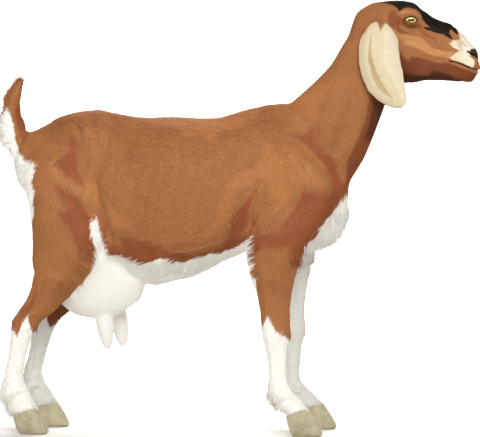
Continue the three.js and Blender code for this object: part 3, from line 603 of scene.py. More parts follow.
def strokeInto(points, normals, table):
    for height, reach, where, line in table:
        x, y, z = squared(points), points[:, 1], points[:, 2]
        (lowX, lowZ), (highX, highZ) = np.min(line, 0) - 3 * reach, np.max(line, 0) + 3 * reach
        near = np.flatnonzero((x > lowX) & (x < highX) & (z > lowZ) & (z < highZ))
        d, along = nearLine(x[near], z[near], line)
        share = np.exp(-((d / reach) ** 2)) * np.minimum(1, 0.1 + 4 * np.minimum(along, 1 - along))
        facing = normals[near, 1] * (np.sign(y[near]) if where == "outer" else 1)
        if where != "round":
            share *= ramp(facing if where == "outer" else np.abs(facing), 0.0, 0.55)
        points[near] += (height * share)[:, None] * normals[near]


lids = {"halfWidth": 17.6, "up": 6.4, "down": 6.2, "thick": 1.7, "sink": 4.0, "tilt": -0.08, "reach": 42}


def eyeFrame(s):
    # the ways an eye looks, forward and upward
    axis = unit(np.array([landmarks["eyeAxis"]]) * (1, s, 1))[0]
    ahead = unit(np.cross(axis, (0, 0, -s))[None])[0]
    ahead *= np.sign(ahead[0])
    upward = np.cross(axis, ahead)
    return axis, ahead, upward * np.sign(upward[2])


def lidBow(u):
    # the height of the opening along its width, from 0 to 1: rounder ahead, more pointed behind
    return 1 - np.clip(np.abs(u) / lids["halfWidth"], 0, 1) ** np.where(u > 0, 2.4, 1.7)


def aroundEye(points, s):
    # for the points near an eye: which they are, their rays from its middle, and how far inside the almond
    # opening (u, v) they lie, in millimetres over the ball
    centre = eyeCentres[s]
    axis, ahead, upward = eyeFrame(s)
    near = np.flatnonzero(np.linalg.norm(points - centre, axis=1) < lids["reach"])
    d = points[near] - centre
    r = np.linalg.norm(d, axis=1)
    front = (d @ axis) / r
    u, v = (d @ ahead) / r, (d @ upward) / r
    stretch = landmarks["eyeRadius"] * np.arccos(np.clip(front, -1, 1)) / np.maximum(np.hypot(u, v), 1e-6)
    u, v = u * stretch, v * stretch
    v = v - lids["tilt"] * u
    bow = lidBow(u)
    gap = np.minimum(lids["up"] * bow - v, v + lids["down"] * bow)
    gap -= 0.8 * np.clip(np.abs(u) - lids["halfWidth"], 0, None)
    return near, d, r, front, v, gap


def openEyes(points):
    # lids over each eyeball, with an almond opening
    for s, centre in eyeCentres.items():
        near, d, r, front, v, gap = aroundEye(points, s)
        radius = landmarks["eyeRadius"]
        rim = radius + lids["thick"] + 0.5 * np.exp(-(((-gap - 1.4) / 1.3) ** 2))
        crease = np.where(v > 0, 1.3, 0.7) * np.exp(-(((-gap - np.where(v > 0, 6.0, 5.0)) / 1.4) ** 2))
        lid = rim + ramp(-gap, 4, 14) * (r - rim) - crease * ramp(front, 0.1, 0.4)
        target = np.where(gap > 0.4, radius - lids["sink"], lid)
        target = np.where((gap > -0.4) & (gap <= 0.4), radius + lids["thick"] - 0.7, target)
        share = (1 - ramp(-gap, 12, 16)) * ramp(front, 0.0, 0.15)
        points[near] = centre + d * (1 + share * (target - r) / r)[:, None]


nostrilShape = {
    # A comma from beside the philtrum back and up over the side of the nose.
    "line": ((600, 9, 909), (592, 20, 912), (572, 40, 917), (560, 40, 926)),
    "along": (0, 0.3, 0.7, 1), "width": (1.4, 2.7, 2.6, 1.0), "depth": (2.5, 7.5, 6.0, 1.5),
    "inward": (-0.6, -0.75, 0.1),
}


def nostrilPath(points, s):
    # the skin's points nearest to the line
    guesses = np.array(nostrilShape["line"], float) * (1, s, 1)
    return [points[np.argmin(np.linalg.norm(points - guess, axis=1))] for guess in guesses]


def openNostrils(points, normals):
    for s, path in nostrils.items():
        d, along = nearPath(points, path)
        width = np.interp(along, nostrilShape["along"], nostrilShape["width"])
        deep = np.interp(along, nostrilShape["along"], nostrilShape["depth"])
        wing = np.interp(along, (0, 0.4, 1), (0.4, 1.2, 0.9))
        pit = np.exp(-((d / width) ** 2.6))
        rim = np.exp(-(((d - width - 3.0) / 2.2) ** 2))
        inward = np.array(nostrilShape["inward"]) * (1, s, 1)
        points += (deep * pit)[:, None] * inward + (wing * rim * (1 - pit))[:, None] * normals
    x, y, z = points.T  # the philtrum
    groove = np.exp(-((y / 1.7) ** 2)) * ramp(x, 568, 578) * ramp(z, 884, 890) * (1 - ramp(z, 912, 922))
    points[:, 0] -= 1.5 * groove


# The skin, one surface over all the flesh nodes.

skinSettings = {
    "voxel": 0.0028,
    "joinGrow": 0.5,  # closes the cuts between the solids
    "pressed": 0.6,  # how much of the coat's depth the skin lies in by, where hair lies flat
    "lidRadius": 19.3,
    "passesFor": 0.0022,  # the voxel that the smoothing's passes are counted for
    "slimNose": 0.15,
    "triangles": {"trunk": 52000, "legs": 46000, "head": 92000},
}
fleshNodes = [name for name in frame["nodes"] if not name.startswith(("hoof", "dewclaw", "eye"))]
skin = copyOfNodes("skin", fleshNodes)
points = readPoints(skin.data)
writePoints(skin.data, points + skinSettings["joinGrow"] * readNormals(skin.data))
for centre in eyeCentres.values():  # the lids' swelling
    bpy.ops.mesh.primitive_ico_sphere_add(subdivisions=4, radius=skinSettings["lidRadius"] / 1000,
                                          location=inMetres(centre))
    swelling = bpy.context.active_object
    deselectAll()
    swelling.select_set(True)
    skin.select_set(True)
    bpy.context.view_layer.objects.active = skin
    bpy.ops.object.join()
remeshed(skin, skinSettings["voxel"])
keepOuterShell(skin)
stage(f"skin remeshed, {len(skin.data.vertices)} points")


def faceCentres(mesh):
    flat = np.empty(len(mesh.polygons) * 3, np.float32)
    mesh.polygons.foreach_get("center", flat)
    return flat.reshape(-1, 3).astype(float) * 1000 - origin


def editFaces(piece, chosen, work):
    # runs an edit-mode tool on the chosen faces
    makeActive(piece)
    bpy.ops.object.mode_set(mode="EDIT")
    bpy.ops.mesh.select_mode(type="FACE")
    bpy.ops.mesh.select_all(action="DESELECT")
    bpy.ops.object.mode_set(mode="OBJECT")
    piece.data.polygons.foreach_set("select", chosen)
    bpy.ops.object.mode_set(mode="EDIT")
    work()
    bpy.ops.object.mode_set(mode="OBJECT")


# Small corrections to the head's outline: where, how far along x and z, reach.
pushes = [(447, 1031, -2.2, -3.4, 16), (484, 1011, 1.4, 4.0, 16), (531, 987, -2.0, -2.6, 18),
          (282, 1008, 3.0, -1.0, 26), (328, 1046, -0.5, 3.0, 20)]
points = readPoints(skin.data)
ear, head = earShare(points), headShare(points)
x, z = points[:, 0], points[:, 2]
trunk = ramp(z, 380, 480) * (1 - head) * (1 - ear) * (1 - ramp(-x, 500, 530))
stifle = ramp(z, 280, 340) * (1 - ramp(z, 470, 560)) * (x < -380)
nape = (1 - ear) * (1 - ramp(x, 350, 385)) * ramp(z, 870, 910)
fromEye = np.minimum(*(np.linalg.norm(points - centre, axis=1) for centre in eyeCentres.values()))
finer = (skinSettings["passesFor"] / skinSettings["voxel"]) ** 2
for passes, share in ((16, 1 - 0.7 * ear), (60, (1 - ear) * ramp(fromEye, 18, 30)),
                      (90, head * (1 - ear) * ramp(fromEye, 28, 50)),
                      (160, stifle), (200, nape), (420, trunk)):
    smooth(skin, int(passes * finer), share)
points = readPoints(skin.data)
x, y, z = points.T
slim = ramp(x, 540, 566) * ramp(z, 886, 905) * (1 - ramp(z, 935, 950))
points[:, 1] = y * (1 - skinSettings["slimNose"] * slim)
for px, pz, dx, dz, reach in pushes:
    share = np.exp(-((x - px) ** 2 + (z - pz) ** 2) / reach ** 2) * (1 - earShare(points))
    points[:, 0] += dx * share
    points[:, 2] += dz * share
writePoints(skin.data, points)
strokeInto(points, readNormals(skin.data), strokes + earStrokes)
writePoints(skin.data, points)
flow, length, depth = layOf(points)
points -= (skinSettings["pressed"] * depth + skinSettings["joinGrow"])[:, None] * readNormals(skin.data)
writePoints(skin.data, points)
stage("facets smoothed")

# The face is made twice as fine, and the eyes and nostrils twice again.
centres = faceCentres(skin.data)
face = (centres[:, 0] > 385) & (centres[:, 2] > 850) & (earShare(centres) < 0.2)
editFaces(skin, face, lambda: bpy.ops.mesh.subdivide(number_cuts=1))
centres = faceCentres(skin.data)
closest = np.minimum(*(np.linalg.norm(centres - centre, axis=1) for centre in eyeCentres.values()))
nose = (centres[:, 0] > 548) & (centres[:, 2] > 895)
editFaces(skin, (closest < 31) | nose, lambda: bpy.ops.mesh.subdivide(number_cuts=1))
smooth(skin, 8, ramp(readPoints(skin.data)[:, 0], 370, 385) * headShare(readPoints(skin.data)))
points = readPoints(skin.data)
strokeInto(points, readNormals(skin.data), headStrokes)
writePoints(skin.data, points)
normals = readNormals(skin.data)
strokeInto(points, normals, [(-3.6, 1.9, "round", mouthLine)])
nostrils = {s: nostrilPath(points, s) for s in (-1, 1)}
openNostrils(points, normals)
openEyes(points)
points[:, 2] = np.maximum(points[:, 2], 2)  # clear of the floor
writePoints(skin.data, points)
stage("forms stroked in")

# Fewer triangles where the form is broad.
makeActive(skin)
bpy.ops.object.mode_set(mode="EDIT")
bpy.ops.mesh.select_all(action="SELECT")
bpy.ops.mesh.quads_convert_to_tris()
bpy.ops.object.mode_set(mode="OBJECT")
for area, most in skinSettings["triangles"].items():
    centres = faceCentres(skin.data)
    head, low = (headShare(centres) > 0.5) & (earShare(centres) < 0.5), centres[:, 2] < 400
    chosen = {"head": head, "legs": low & ~head | (earShare(centres) > 0.5)}
    chosen["trunk"] = ~chosen["head"] & ~chosen["legs"]
    ratio = most / chosen[area].sum()
    if ratio < 1:
        editFaces(skin, chosen[area], lambda: bpy.ops.mesh.decimate(ratio=ratio))
bpy.ops.object.shade_smooth()
points, normals = readPoints(skin.data), readNormals(skin.data)
colour, bare = markingsAndPaintedLight(points, normals)
stage(f"skin has {len(skin.data.polygons)} faces")

# where the skin has hair it is painted 8 % darker, as painted shade under the coat
skinColour = colour * (0.92 + 0.08 * bare)[:, None]
# Udder, the dark rims of the eyes, and painted shade in the mouth's groove and inside the nostrils.
udder = udderShare(points)[:, None]
skinColour += udder * 0.7 * (hair["udder"] - skinColour)
for s in eyeCentres:
    near, d, r, front, v, gap = aroundEye(points, s)
    dark = ramp(gap, -np.where(v > 0, 3.2, 1.9), -np.where(v > 0, 1.6, 0.6)) * (front > 0.1)
    skinColour[near] += dark[:, None] * (hair["eyeRim"] - skinColour[near])
# painted shade along the mouth's groove, near black
lipGap, along = nearLine(points[:, 0], points[:, 2], mouthLine)
mouthShade = (1 - ramp(lipGap, 1.0, 2.6)) * (headShare(points) > 0.5)
skinColour += mouthShade[:, None] * (hair["lips"] - skinColour)
# painted shade inside the nostrils, near black
for path in nostrils.values():
    d, along = nearPath(points, path)
    dark = 1 - ramp(d, 2.4, 4.2)
    skinColour += dark[:, None] * (hair["nostrilShade"] - skinColour)
attribute = skin.data.attributes.new("skinColour", "FLOAT_COLOR", "POINT")
attribute.data.foreach_set("color", np.column_stack([skinColour, bare]).astype(np.float32).ravel())


# The coat: tufts on the skin, each a closed solid.

def surfaceSamples(mesh, wanted, rng):
    # points spread evenly over a mesh, by a wanted count per square millimetre at each vertex
    mesh.calc_loop_triangles()
    tri = np.empty(len(mesh.loop_triangles) * 3, np.int32)
    mesh.loop_triangles.foreach_get("vertices", tri)
    tri = tri.reshape(-1, 3)
    p = readPoints(mesh)
    n = readNormals(mesh)
    a, b, c = p[tri[:, 0]], p[tri[:, 1]], p[tri[:, 2]]
    area = np.linalg.norm(np.cross(b - a, c - a), axis=1) / 2
    count = area * wanted[tri].mean(1)
    number = np.floor(count + rng.random(len(count))).astype(int)
    index = np.repeat(np.arange(len(tri)), number)
    s, t = rng.random(len(index)), rng.random(len(index))
    flip = s + t > 1
    s[flip], t[flip] = 1 - s[flip], 1 - t[flip]
    weights = np.column_stack([1 - s - t, s, t])
    roots = np.einsum("ij,ijk->ik", weights, p[tri[index]])
    up = unit(np.einsum("ij,ijk->ik", weights, n[tri[index]]))
    return roots, up


# Where hair stands out: line, reach, direction, length, lift, which way the skin must face.
fringes = [
    ([(48, 470), (50, 440), (60, 405)], 20, (-0.75, -0.65), 24, 8, (-1, 0)),  # elbow
    ([(-322, 520), (-336, 470), (-366, 420), (-410, 372),
     (-440, 345)], 22, (0.55, -0.83), 24, 11, (1, -0.3)),  # thigh
    # under the tail
    ([(-560, 705), (-575, 735), (-584, 775), (-578, 815)], 20, (-0.7, -0.2), 22, 6, (-1, 0)),
    ([(-572, 800), (-562, 835), (-540, 868)], 17, (-0.5, 0.85), 24, 8, (-1, 0.2)),
    ([(-524, 745), (-530, 790)], 12, (0.5, 0.85), 16, 4, (1, 0)),
    ([(-560, 122), (-562, 95), (-545, 66)], 22, (-0.5, -0.85), 20, 7, (-1, 0)),  # fetlocks
    ([(80, 122), (84, 95), (104, 66)], 22, (-0.5, -0.85), 20, 7, (-1, 0)),
    ([(262, 540), (232, 490), (205, 455), (150, 440)], 22, (-0.1, -1), 28, 13, (0.7, -0.7)),  # brisket
    ([(-280, 440), (-200, 400), (-100, 395), (0, 430)], 16, (-0.8, -0.5), 19, 4, (0, -1)),  # belly
    ([(400, 862), (470, 856), (540, 856)], 9, (-0.8, -0.6), 9, 2.5, (0, -1)),  # under the jaw
    ([(86, 106), (104, 104)], 15, (-0.3, -0.95), 23, 9, (0, 0)),  # over the dewclaws
    ([(-564, 106), (-546, 104)], 15, (-0.3, -0.95), 23, 9, (0, 0)),
    ([(120, 52), (150, 62), (182, 74)], 11, (0.3, -0.95), 13, 3, (0, 0)),  # over the hooves
    ([(-545, 52), (-515, 60), (-482, 74)], 11, (0.3, -0.95), 13, 3, (0, 0)),
    ([(-432, 761), (-380, 789), (-262, 768), (-50, 768), (65, 783),
     (118, 802)], 13, (-1, 0.12), 19, 2.5, (0, 1)),
]


coatSettings = {
    "layers": 1.75, "moreOnTrunk": 0.85, "fewerOnHead": 0.9, "layersOnEars": 1.0,
    "quickShare": 0.3, "slack": 0.13, "swirl": 0.25, "shades": 0.13,
    "lashes": 44, "lashWidth": 0.7, "unwrapFaces": 9000, "patch": 0.0015,
    # One tuft, as shares of its width, length and lift, and how far its root is sunk in the skin.
    "thick": 0.16, "ridgeAt": 0.38, "ridgeLift": 0.45, "sunk": 0.4,
}


def tuftWidth(length):
    return 0.1 * length + 0.55


def growCoat():
    # root, direction and size of every tuft
    rng = np.random.default_rng(5)
    p, n = readPoints(skin.data), readNormals(skin.data)
    _, length, _ = layOf(p)
    head, ear = headShare(p), earShare(p)
    cover = coatSettings["layers"] + coatSettings["moreOnTrunk"] * ramp(p[:, 2], 400, 500)
    cover -= coatSettings["fewerOnHead"] * head
    cover += ear * (coatSettings["layersOnEars"] - cover)
    wanted = cover / (0.5 * length * tuftWidth(length))
    _, bareHere = markingsAndPaintedLight(p, n)
    wanted *= 1 - bareHere * 0.8
    wanted[bareHere >= 1] = 0
    wanted *= 1 - udderShare(p)
    for s in eyeCentres:
        near, d, r, front, v, gap = aroundEye(p, s)
        wanted[near] *= np.where(front > 0.1, ramp(-gap, 1.6, 3.2), 1)
    lip, _ = nearLine(p[:, 0], p[:, 2], mouthLine)
    wanted *= np.where(head > 0.5, ramp(lip, 1.4, 3.0), 1)
    for path in nostrils.values():
        wanted *= ramp(nearPath(p, path)[0], 4.5, 6.5)
    wanted[(p[:, 2] < 75) & (n[:, 2] < -0.5)] = 0
    wanted *= 1 + 0.8 * (1 - ramp(np.abs(p[:, 2] - 104), 8, 22))
    roots, up = surfaceSamples(skin.data, wanted, rng)
    flow, length, depth = layOf(roots)
    lift = 0.35 * depth + 0.25
    stick = np.zeros(len(roots))
    x, z = squared(roots), roots[:, 2]
    for line, reach, (dx, dz), longest, rise, (nx, nz) in fringes:
        d, _ = nearLine(x, z, line)
        facing = up[:, 0] * nx + up[:, 2] * nz
        share = (1 - ramp(d, 0.4 * reach, reach)) * (ramp(facing, 0.05, 0.5) if nx or nz else 1)
        share *= (rng.random(len(roots)) < 0.55) & (earShare(roots) < 0.3)
        flow += share[:, None] * (np.array((dx, 0, dz)) - flow)
        length += share * (longest - length)
        stick += share * rise
    length *= rng.uniform(0.7, 1.25, len(roots))
    ear = earShare(roots)
    swirl = np.column_stack([noise(roots, 45), noise(roots + 200, 45), noise(roots + 400, 45)])
    slack = rng.normal(0, coatSettings["slack"], flow.shape)
    flow += (slack + coatSettings["swirl"] * swirl) * (1 - 0.5 * ear)[:, None]
    along = unit(flow - np.sum(flow * up, 1)[:, None] * up)
    lift = lift * rng.uniform(0.4, 1.5, len(roots)) * (1 - 0.4 * ear)
    lift += stick * rng.uniform(0.3, 1.2, len(roots))
    return roots, up, along, length, lift, rng


def eyeLashes(s):
    # roots, upward sides and directions of the lashes along one upper lid
    axis, ahead, upward = eyeFrame(s)
    u = np.linspace(-13.5, 11, coatSettings["lashes"])
    v = lids["up"] * lidBow(u) + 1.6 + lids["tilt"] * u
    angle = np.hypot(u, v) / landmarks["eyeRadius"]
    out = np.outer(np.cos(angle), axis)
    out += (np.sin(angle) / np.hypot(u, v))[:, None] * (np.outer(u, ahead) + np.outer(v, upward))
    along = unit(out + np.outer(0.02 * u, ahead) - 0.15 * upward)
    roots = eyeCentres[s] + (landmarks["eyeRadius"] + lids["thick"] - 0.4) * out
    return roots, unit(np.cross(ahead, along)) * s, along


def tuftMesh(name, roots, up, along, length, lift, width, colour, uv):
    # each tuft is a thin closed spearhead of four triangles
    count = len(roots)
    across = np.cross(up, along)
    shape = coatSettings
    right = roots - across * (width / 2)[:, None] - up * shape["sunk"]
    left = roots + across * (width / 2)[:, None] - up * shape["sunk"]
    high = shape["thick"] * width + shape["ridgeLift"] * lift
    ridge = roots + along * (shape["ridgeAt"] * length)[:, None] + up * high[:, None]
    tip = roots + along * length[:, None] + up * lift[:, None]
    points = np.stack([right, left, ridge, tip], 1).reshape(-1, 3)
    # right, left, ridge and tip are lit much as the skin under them is; the last is for the underside
    normals = [up - 0.45 * across, up + 0.45 * across, up - 0.1 * along, up + 0.25 * along, -up]
    normals = np.stack(normals, 1)
    normals = unit(normals.reshape(-1, 3))
    pattern = np.array([0, 3, 2, 3, 1, 2, 1, 0, 2, 0, 1, 3])
    facing = np.array([0, 3, 2, 3, 1, 2, 1, 0, 2, 4, 4, 4])
    corners = (np.arange(count)[:, None] * 4 + pattern).ravel()
    mesh = bpy.data.meshes.new(name)
    mesh.vertices.add(count * 4)
    mesh.loops.add(count * 12)
    mesh.polygons.add(count * 4)
    mesh.vertices.foreach_set("co", inMetres(points).astype(np.float32).ravel())
    mesh.loops.foreach_set("vertex_index", corners.astype(np.int32))
    mesh.polygons.foreach_set("loop_start", np.arange(0, count * 12, 3, dtype=np.int32))
    mesh.polygons.foreach_set("loop_total", np.full(count * 4, 3, np.int32))
    mesh.update(calc_edges=True)
    # painted shade at each tuft's root and a painted highlight at its tip, weaker on pale hair
    dark = 1 - ramp(colour[:, 1], 0.2, 0.6)[:, None]
    shade = 1 + np.array([-0.18, -0.18, 0, 0.08])[None] * (0.3 + 0.7 * dark)
    rgba = np.ones((count, 4, 4), np.float32)
    rgba[:, :, :3] = colour[:, None, :] * shade[:, :, None]
    mesh.attributes.new("coatColour", "FLOAT_COLOR", "POINT").data.foreach_set("color", rgba.ravel())
    patch = np.array([(-1, -1), (1, -1), (0, 0), (0, 1)]) * shape["patch"]
    places = (uv[:, None, :] + patch[None]).reshape(-1, 2)[corners]
    mesh.uv_layers.new(name="OFBake").data.foreach_set("uv", places.astype(np.float32).ravel())
    mesh.normals_split_custom_set(normals[(np.arange(count)[:, None] * 5 + facing).ravel()])
    return newPiece(name, mesh)


def unwrapPlaces(roots):
    # each root's place on an unwrap of the skin's own shape, by way of a coarse copy of it
    coarse = newPiece("unwrap", skin.data.copy())
    makeActive(coarse)
    thin = coarse.modifiers.new("thin", "DECIMATE")
    thin.ratio = coatSettings["unwrapFaces"] / len(skin.data.polygons)
    bpy.ops.object.modifier_apply(modifier="thin")
    bpy.ops.object.mode_set(mode="EDIT")
    bpy.ops.mesh.select_all(action="SELECT")
    bpy.ops.uv.smart_project(angle_limit=1.15, island_margin=0.004)
    bpy.ops.object.mode_set(mode="OBJECT")
    mesh = coarse.data
    p = readPoints(mesh)
    mesh.calc_loop_triangles()
    tri, loops = (np.empty(len(mesh.loop_triangles) * 3, np.int32) for _ in range(2))
    mesh.loop_triangles.foreach_get("vertices", tri)
    mesh.loop_triangles.foreach_get("loops", loops)
    tri = tri.reshape(-1, 3)
    uv = np.empty(len(mesh.loops) * 2, np.float32)
    mesh.uv_layers.active.data.foreach_get("uv", uv)
    uv = uv.reshape(-1, 2)[loops.reshape(-1, 3)]
    tree = BVHTree.FromPolygons(p.tolist(), tri.tolist(), all_triangles=True)
    found = [tree.find_nearest(root) for root in roots.tolist()]  # place, normal, triangle, distance
    index = np.array([triangle for _, _, triangle, _ in found])
    q = np.array([tuple(place) for place, _, _, _ in found])
    a, b, c = (p[tri[index, k]] for k in range(3))
    n = np.cross(b - a, c - a)
    size = np.maximum(np.sum(n * n, 1), 1e-12)
    wb = np.sum(np.cross(q - a, c - a) * n, 1) / size
    wc = np.sum(np.cross(b - a, q - a) * n, 1) / size
    weights = np.clip(np.column_stack([1 - wb - wc, wb, wc]), 0, 1)
    bpy.data.objects.remove(coarse)
    return np.einsum("ij,ijk->ik", weights, uv[index])


roots, up, along, length, lift, rng = growCoat()
coated = len(roots)
for s in eyeCentres:
    lashRoots, lashUp, lashAlong = eyeLashes(s)
    roots, up, along = np.vstack([roots, lashRoots]), np.vstack([up, lashUp]), np.vstack([along, lashAlong])
    length = np.append(length, rng.uniform(6.5, 9, len(lashRoots)))
    lift = np.append(lift, rng.uniform(-1.5, -0.5, len(lashRoots)))
stage(f"{len(roots)} tufts rooted")
places = unwrapPlaces(roots)
stage("unwrapped")
jump = along * (rng.uniform(-0.45, 0.25, len(roots)) * length)[:, None]
colour, _ = markingsAndPaintedLight(roots + jump, up)
strand = rng.uniform(-coatSettings["shades"], coatSettings["shades"], len(roots))
strand = 1 + strand * (1 - 0.6 * ramp(colour[:, 1], 0.2, 0.6))
warm = np.column_stack([1 + 0.05 * (strand - 1), np.ones(len(roots)), 1 - 0.4 * (strand - 1)])
colour = colour * (strand[:, None] * warm)
width = tuftWidth(length) * rng.uniform(0.8, 1.2, len(roots))
colour[coated:], width[coated:] = hair["black"], coatSettings["lashWidth"]

x, y, z = roots.T
ear, head = earShare(roots) > 0.5, headShare(roots) > 0.5
sides = {"right": y <= 0, "left": y > 0}
legs = (z < 405) & (udderShare(roots) < 0.5)
tail = (x < -500) & (z > 640) & (x < -514 + 0.45 * (z - 733))
rest = ~(ear | head | legs | tail)
neck = rest & (x * 0.79 + z * 0.61 > 0.79 * 192 + 0.61 * 709)  # ahead of a plane at the shoulder
trunk = rest & ~neck
areas = {"coat_ears": ear, "coat_tail": tail & ~ear}
for hand, mine in sides.items():
    areas[f"coat_neck_{hand}"] = neck & mine
    areas[f"coat_head_{hand}"] = head & ~ear & mine
    areas[f"coat_shoulder_{hand}"] = trunk & mine & (x > 20)
    areas[f"coat_barrel_{hand}"] = trunk & mine & (x <= 20) & (x > -240)
    areas[f"coat_rump_{hand}"] = trunk & mine & (x <= -240)
    areas[f"coat_legs_{hand}"] = legs & ~tail & mine
tufts = (roots, up, along, length, lift, width, colour, places)
coat = []
for name, mine in areas.items():
    coat.append(tuftMesh(name, *(values[mine] for values in tufts)))
    print("   ", name, int(mine.sum()), "tufts", flush=True)
stage("coat made")


# Hooves and dewclaws.

hornSettings = {
    "voxel": 0.0013, "passes": 24, "ring": 4.5, "ringDepth": 0.16, "sole": 0.9,
    "dark": "9c9377", "light": "b7ac8d",
}
hornNodes = [name for name in frame["nodes"] if name.startswith(("hoof", "dewclaw"))]
horn = copyOfNodes("hooves", hornNodes)
remeshed(horn, hornSettings["voxel"])
smooth(horn, hornSettings["passes"])
points, normals = readPoints(horn.data), readNormals(horn.data)
wall = 1 - ramp(np.abs(normals[:, 2]), 0.75, 0.95)
rings = np.sin(2 * math.pi * (points[:, 2] + 0.8 * noise(points, 14)) / hornSettings["ring"])
points += (hornSettings["ringDepth"] * rings * wall * ramp(points[:, 2], 3, 10))[:, None] * normals
points[:, 2] = np.where(points[:, 2] < hornSettings["sole"], 0, points[:, 2])  # flat soles
writePoints(horn.data, points)
makeActive(horn)
bpy.ops.object.shade_smooth()
stage(f"hooves, {len(horn.data.polygons)} faces")


# Eyes.

eyeSettings = {
    "cornea": 0.6,  # how far it stands out
    "irisReach": 15.0, "pupilHalfWidth": 8.2, "pupilHalfHeight": 3.1,
    "iris": "e0c766", "irisEdge": "c29a45", "limbus": "3a2414", "pupil": "050403",
}
eyes = []
for hand, s in (("right", -1), ("left", 1)):
    centre, radius = eyeCentres[s], landmarks["eyeRadius"]
    bpy.ops.mesh.primitive_uv_sphere_add(segments=96, ring_count=64, radius=radius / 1000)
    ball = bpy.context.active_object
    ball.name = f"eyeball_{hand}"
    axis, ahead, upward = eyeFrame(s)
    turn = Vector(axis).to_track_quat("Z", "Y").to_matrix().to_4x4()
    ball.data.transform(Matrix.Translation(inMetres(centre)) @ turn)
    points = readPoints(ball.data)
    d = (points - centre) / radius
    front = d @ axis
    points += (eyeSettings["cornea"] * ramp(front, 0.62, 0.95))[:, None] * axis
    writePoints(ball.data, points)
    # a level slot of a pupil in an iris with fine rays, and a dark rim
    u, v = d @ -ahead * radius, d @ upward * radius + 0.8
    v = v + 0.06 * u
    reach = np.arccos(np.clip(front, -1, 1)) * radius
    rays = noise(np.column_stack([np.arctan2(v, u) * 9, reach * 0.35, 0 * u]) + 50, 1.0)
    tint = linear(eyeSettings["iris"])[None] * (1 + 0.2 * rays)[:, None]
    slot = np.abs(u / eyeSettings["pupilHalfWidth"]) ** 3.0
    slot += np.abs(v / eyeSettings["pupilHalfHeight"]) ** 2.6
    rim = eyeSettings["irisReach"]
    for name, share in (("irisEdge", ramp(reach, 9, rim)), ("limbus", ramp(reach, rim, rim + 1.5)),
                        ("pupil", 1 - ramp(slot, 0.8, 1.25))):
        tint = tint + share[:, None] * (linear(eyeSettings[name]) - tint)
    attribute = ball.data.attributes.new("eyeColour", "FLOAT_COLOR", "POINT")
    rgba = np.column_stack([tint, np.ones(len(tint))])
    attribute.data.foreach_set("color", rgba.astype(np.float32).ravel())
    makeActive(ball)
    bpy.ops.object.shade_smooth()
    eyes.append(ball)
stage("eyes")


# Materials.

def newMaterial(name, values):
    # a material whose shader has the values given
    material = bpy.data.materials.new(name)
    material.use_nodes = True
    shader = material.node_tree.nodes["Principled BSDF"]
    for socket, value in values.items():
        shader.inputs[socket].default_value = value
    return material, material.node_tree, shader


def addNode(tree, kind, settings=None, inputs=None, links=None):
    # one node with its settings, its inputs' values and the sockets linked into it
    node = tree.nodes.new(kind)
    for key, value in (settings or {}).items():
        setattr(node, key, value)
    for key, value in (inputs or {}).items():
        node.inputs[key].default_value = value
    for key, socket in (links or {}).items():
        tree.links.new(socket, node.inputs[key])
    return node


def hairMaterial(name, attributeName, roughness, bumpHeight, flecks):
    # Hair on skin: goat hair about 0.06 mm thick and 15 mm long, flat and a little glossy. It is drawn as
    # strands 1.2 mm wide, so that they show, with paler and darker flecks 4 mm across.
    values = {"Roughness": roughness, "Specular IOR Level": 0.12, "Sheen Weight": 0.05,
              "Sheen Roughness": 0.4}
    material, tree, shader = newMaterial(name, values)
    place = addNode(tree, "ShaderNodeTexCoord")
    tone = addNode(tree, "ShaderNodeAttribute", {"attribute_name": attributeName})
    fleck = addNode(tree, "ShaderNodeTexNoise", inputs={"Scale": 260.0, "Detail": 3.0, "Roughness": 0.6},
                    links={"Vector": place.outputs["Object"]})
    limits = {"From Min": 0.3, "From Max": 0.7, "To Min": 1 - flecks, "To Max": 1 + flecks}
    spread = addNode(tree, "ShaderNodeMapRange", inputs=limits, links={"Value": fleck.outputs["Fac"]})
    tinted = addNode(tree, "ShaderNodeVectorMath", {"operation": "SCALE"},
                     links={0: tone.outputs["Color"], "Scale": spread.outputs["Result"]})
    tree.links.new(tinted.outputs["Vector"], shader.inputs["Base Color"])
    strands = addNode(tree, "ShaderNodeTexNoise", inputs={"Scale": 820.0, "Detail": 2.0, "Roughness": 0.55},
                      links={"Vector": place.outputs["Object"]})
    bump = addNode(tree, "ShaderNodeBump", inputs={"Strength": 0.35, "Distance": bumpHeight},
                   links={"Height": strands.outputs["Fac"]})
    tree.links.new(bump.outputs["Normal"], shader.inputs["Normal"])
    return material


def hornMaterial():
    # Hoof horn: keratin in upright tubules, ringed by growth, matte and a little waxy. The tubules are
    # drawn 1.1 mm wide and the bands of colour 18 mm across.
    material, tree, shader = newMaterial("hoofHorn", {"Roughness": 0.5})
    place = addNode(tree, "ShaderNodeTexCoord")
    stretch = addNode(tree, "ShaderNodeMapping", inputs={"Scale": (1.0, 1.0, 0.08)},
                      links={"Vector": place.outputs["Object"]})
    grain = addNode(tree, "ShaderNodeTexNoise", inputs={"Scale": 900.0, "Detail": 3.0},
                    links={"Vector": stretch.outputs["Vector"]})
    bands = addNode(tree, "ShaderNodeTexNoise", inputs={"Scale": 55.0, "Detail": 2.0},
                    links={"Vector": place.outputs["Object"]})
    tint = addNode(tree, "ShaderNodeValToRGB", links={"Fac": bands.outputs["Fac"]})
    for stop, position, tone in zip(tint.color_ramp.elements, (0.3, 0.7), ("dark", "light")):
        stop.position, stop.color = position, (*linear(hornSettings[tone]), 1)
    tree.links.new(tint.outputs["Color"], shader.inputs["Base Color"])
    bump = addNode(tree, "ShaderNodeBump", inputs={"Strength": 0.4, "Distance": 0.0006},
                   links={"Height": grain.outputs["Fac"]})
    tree.links.new(bump.outputs["Normal"], shader.inputs["Normal"])
    return material


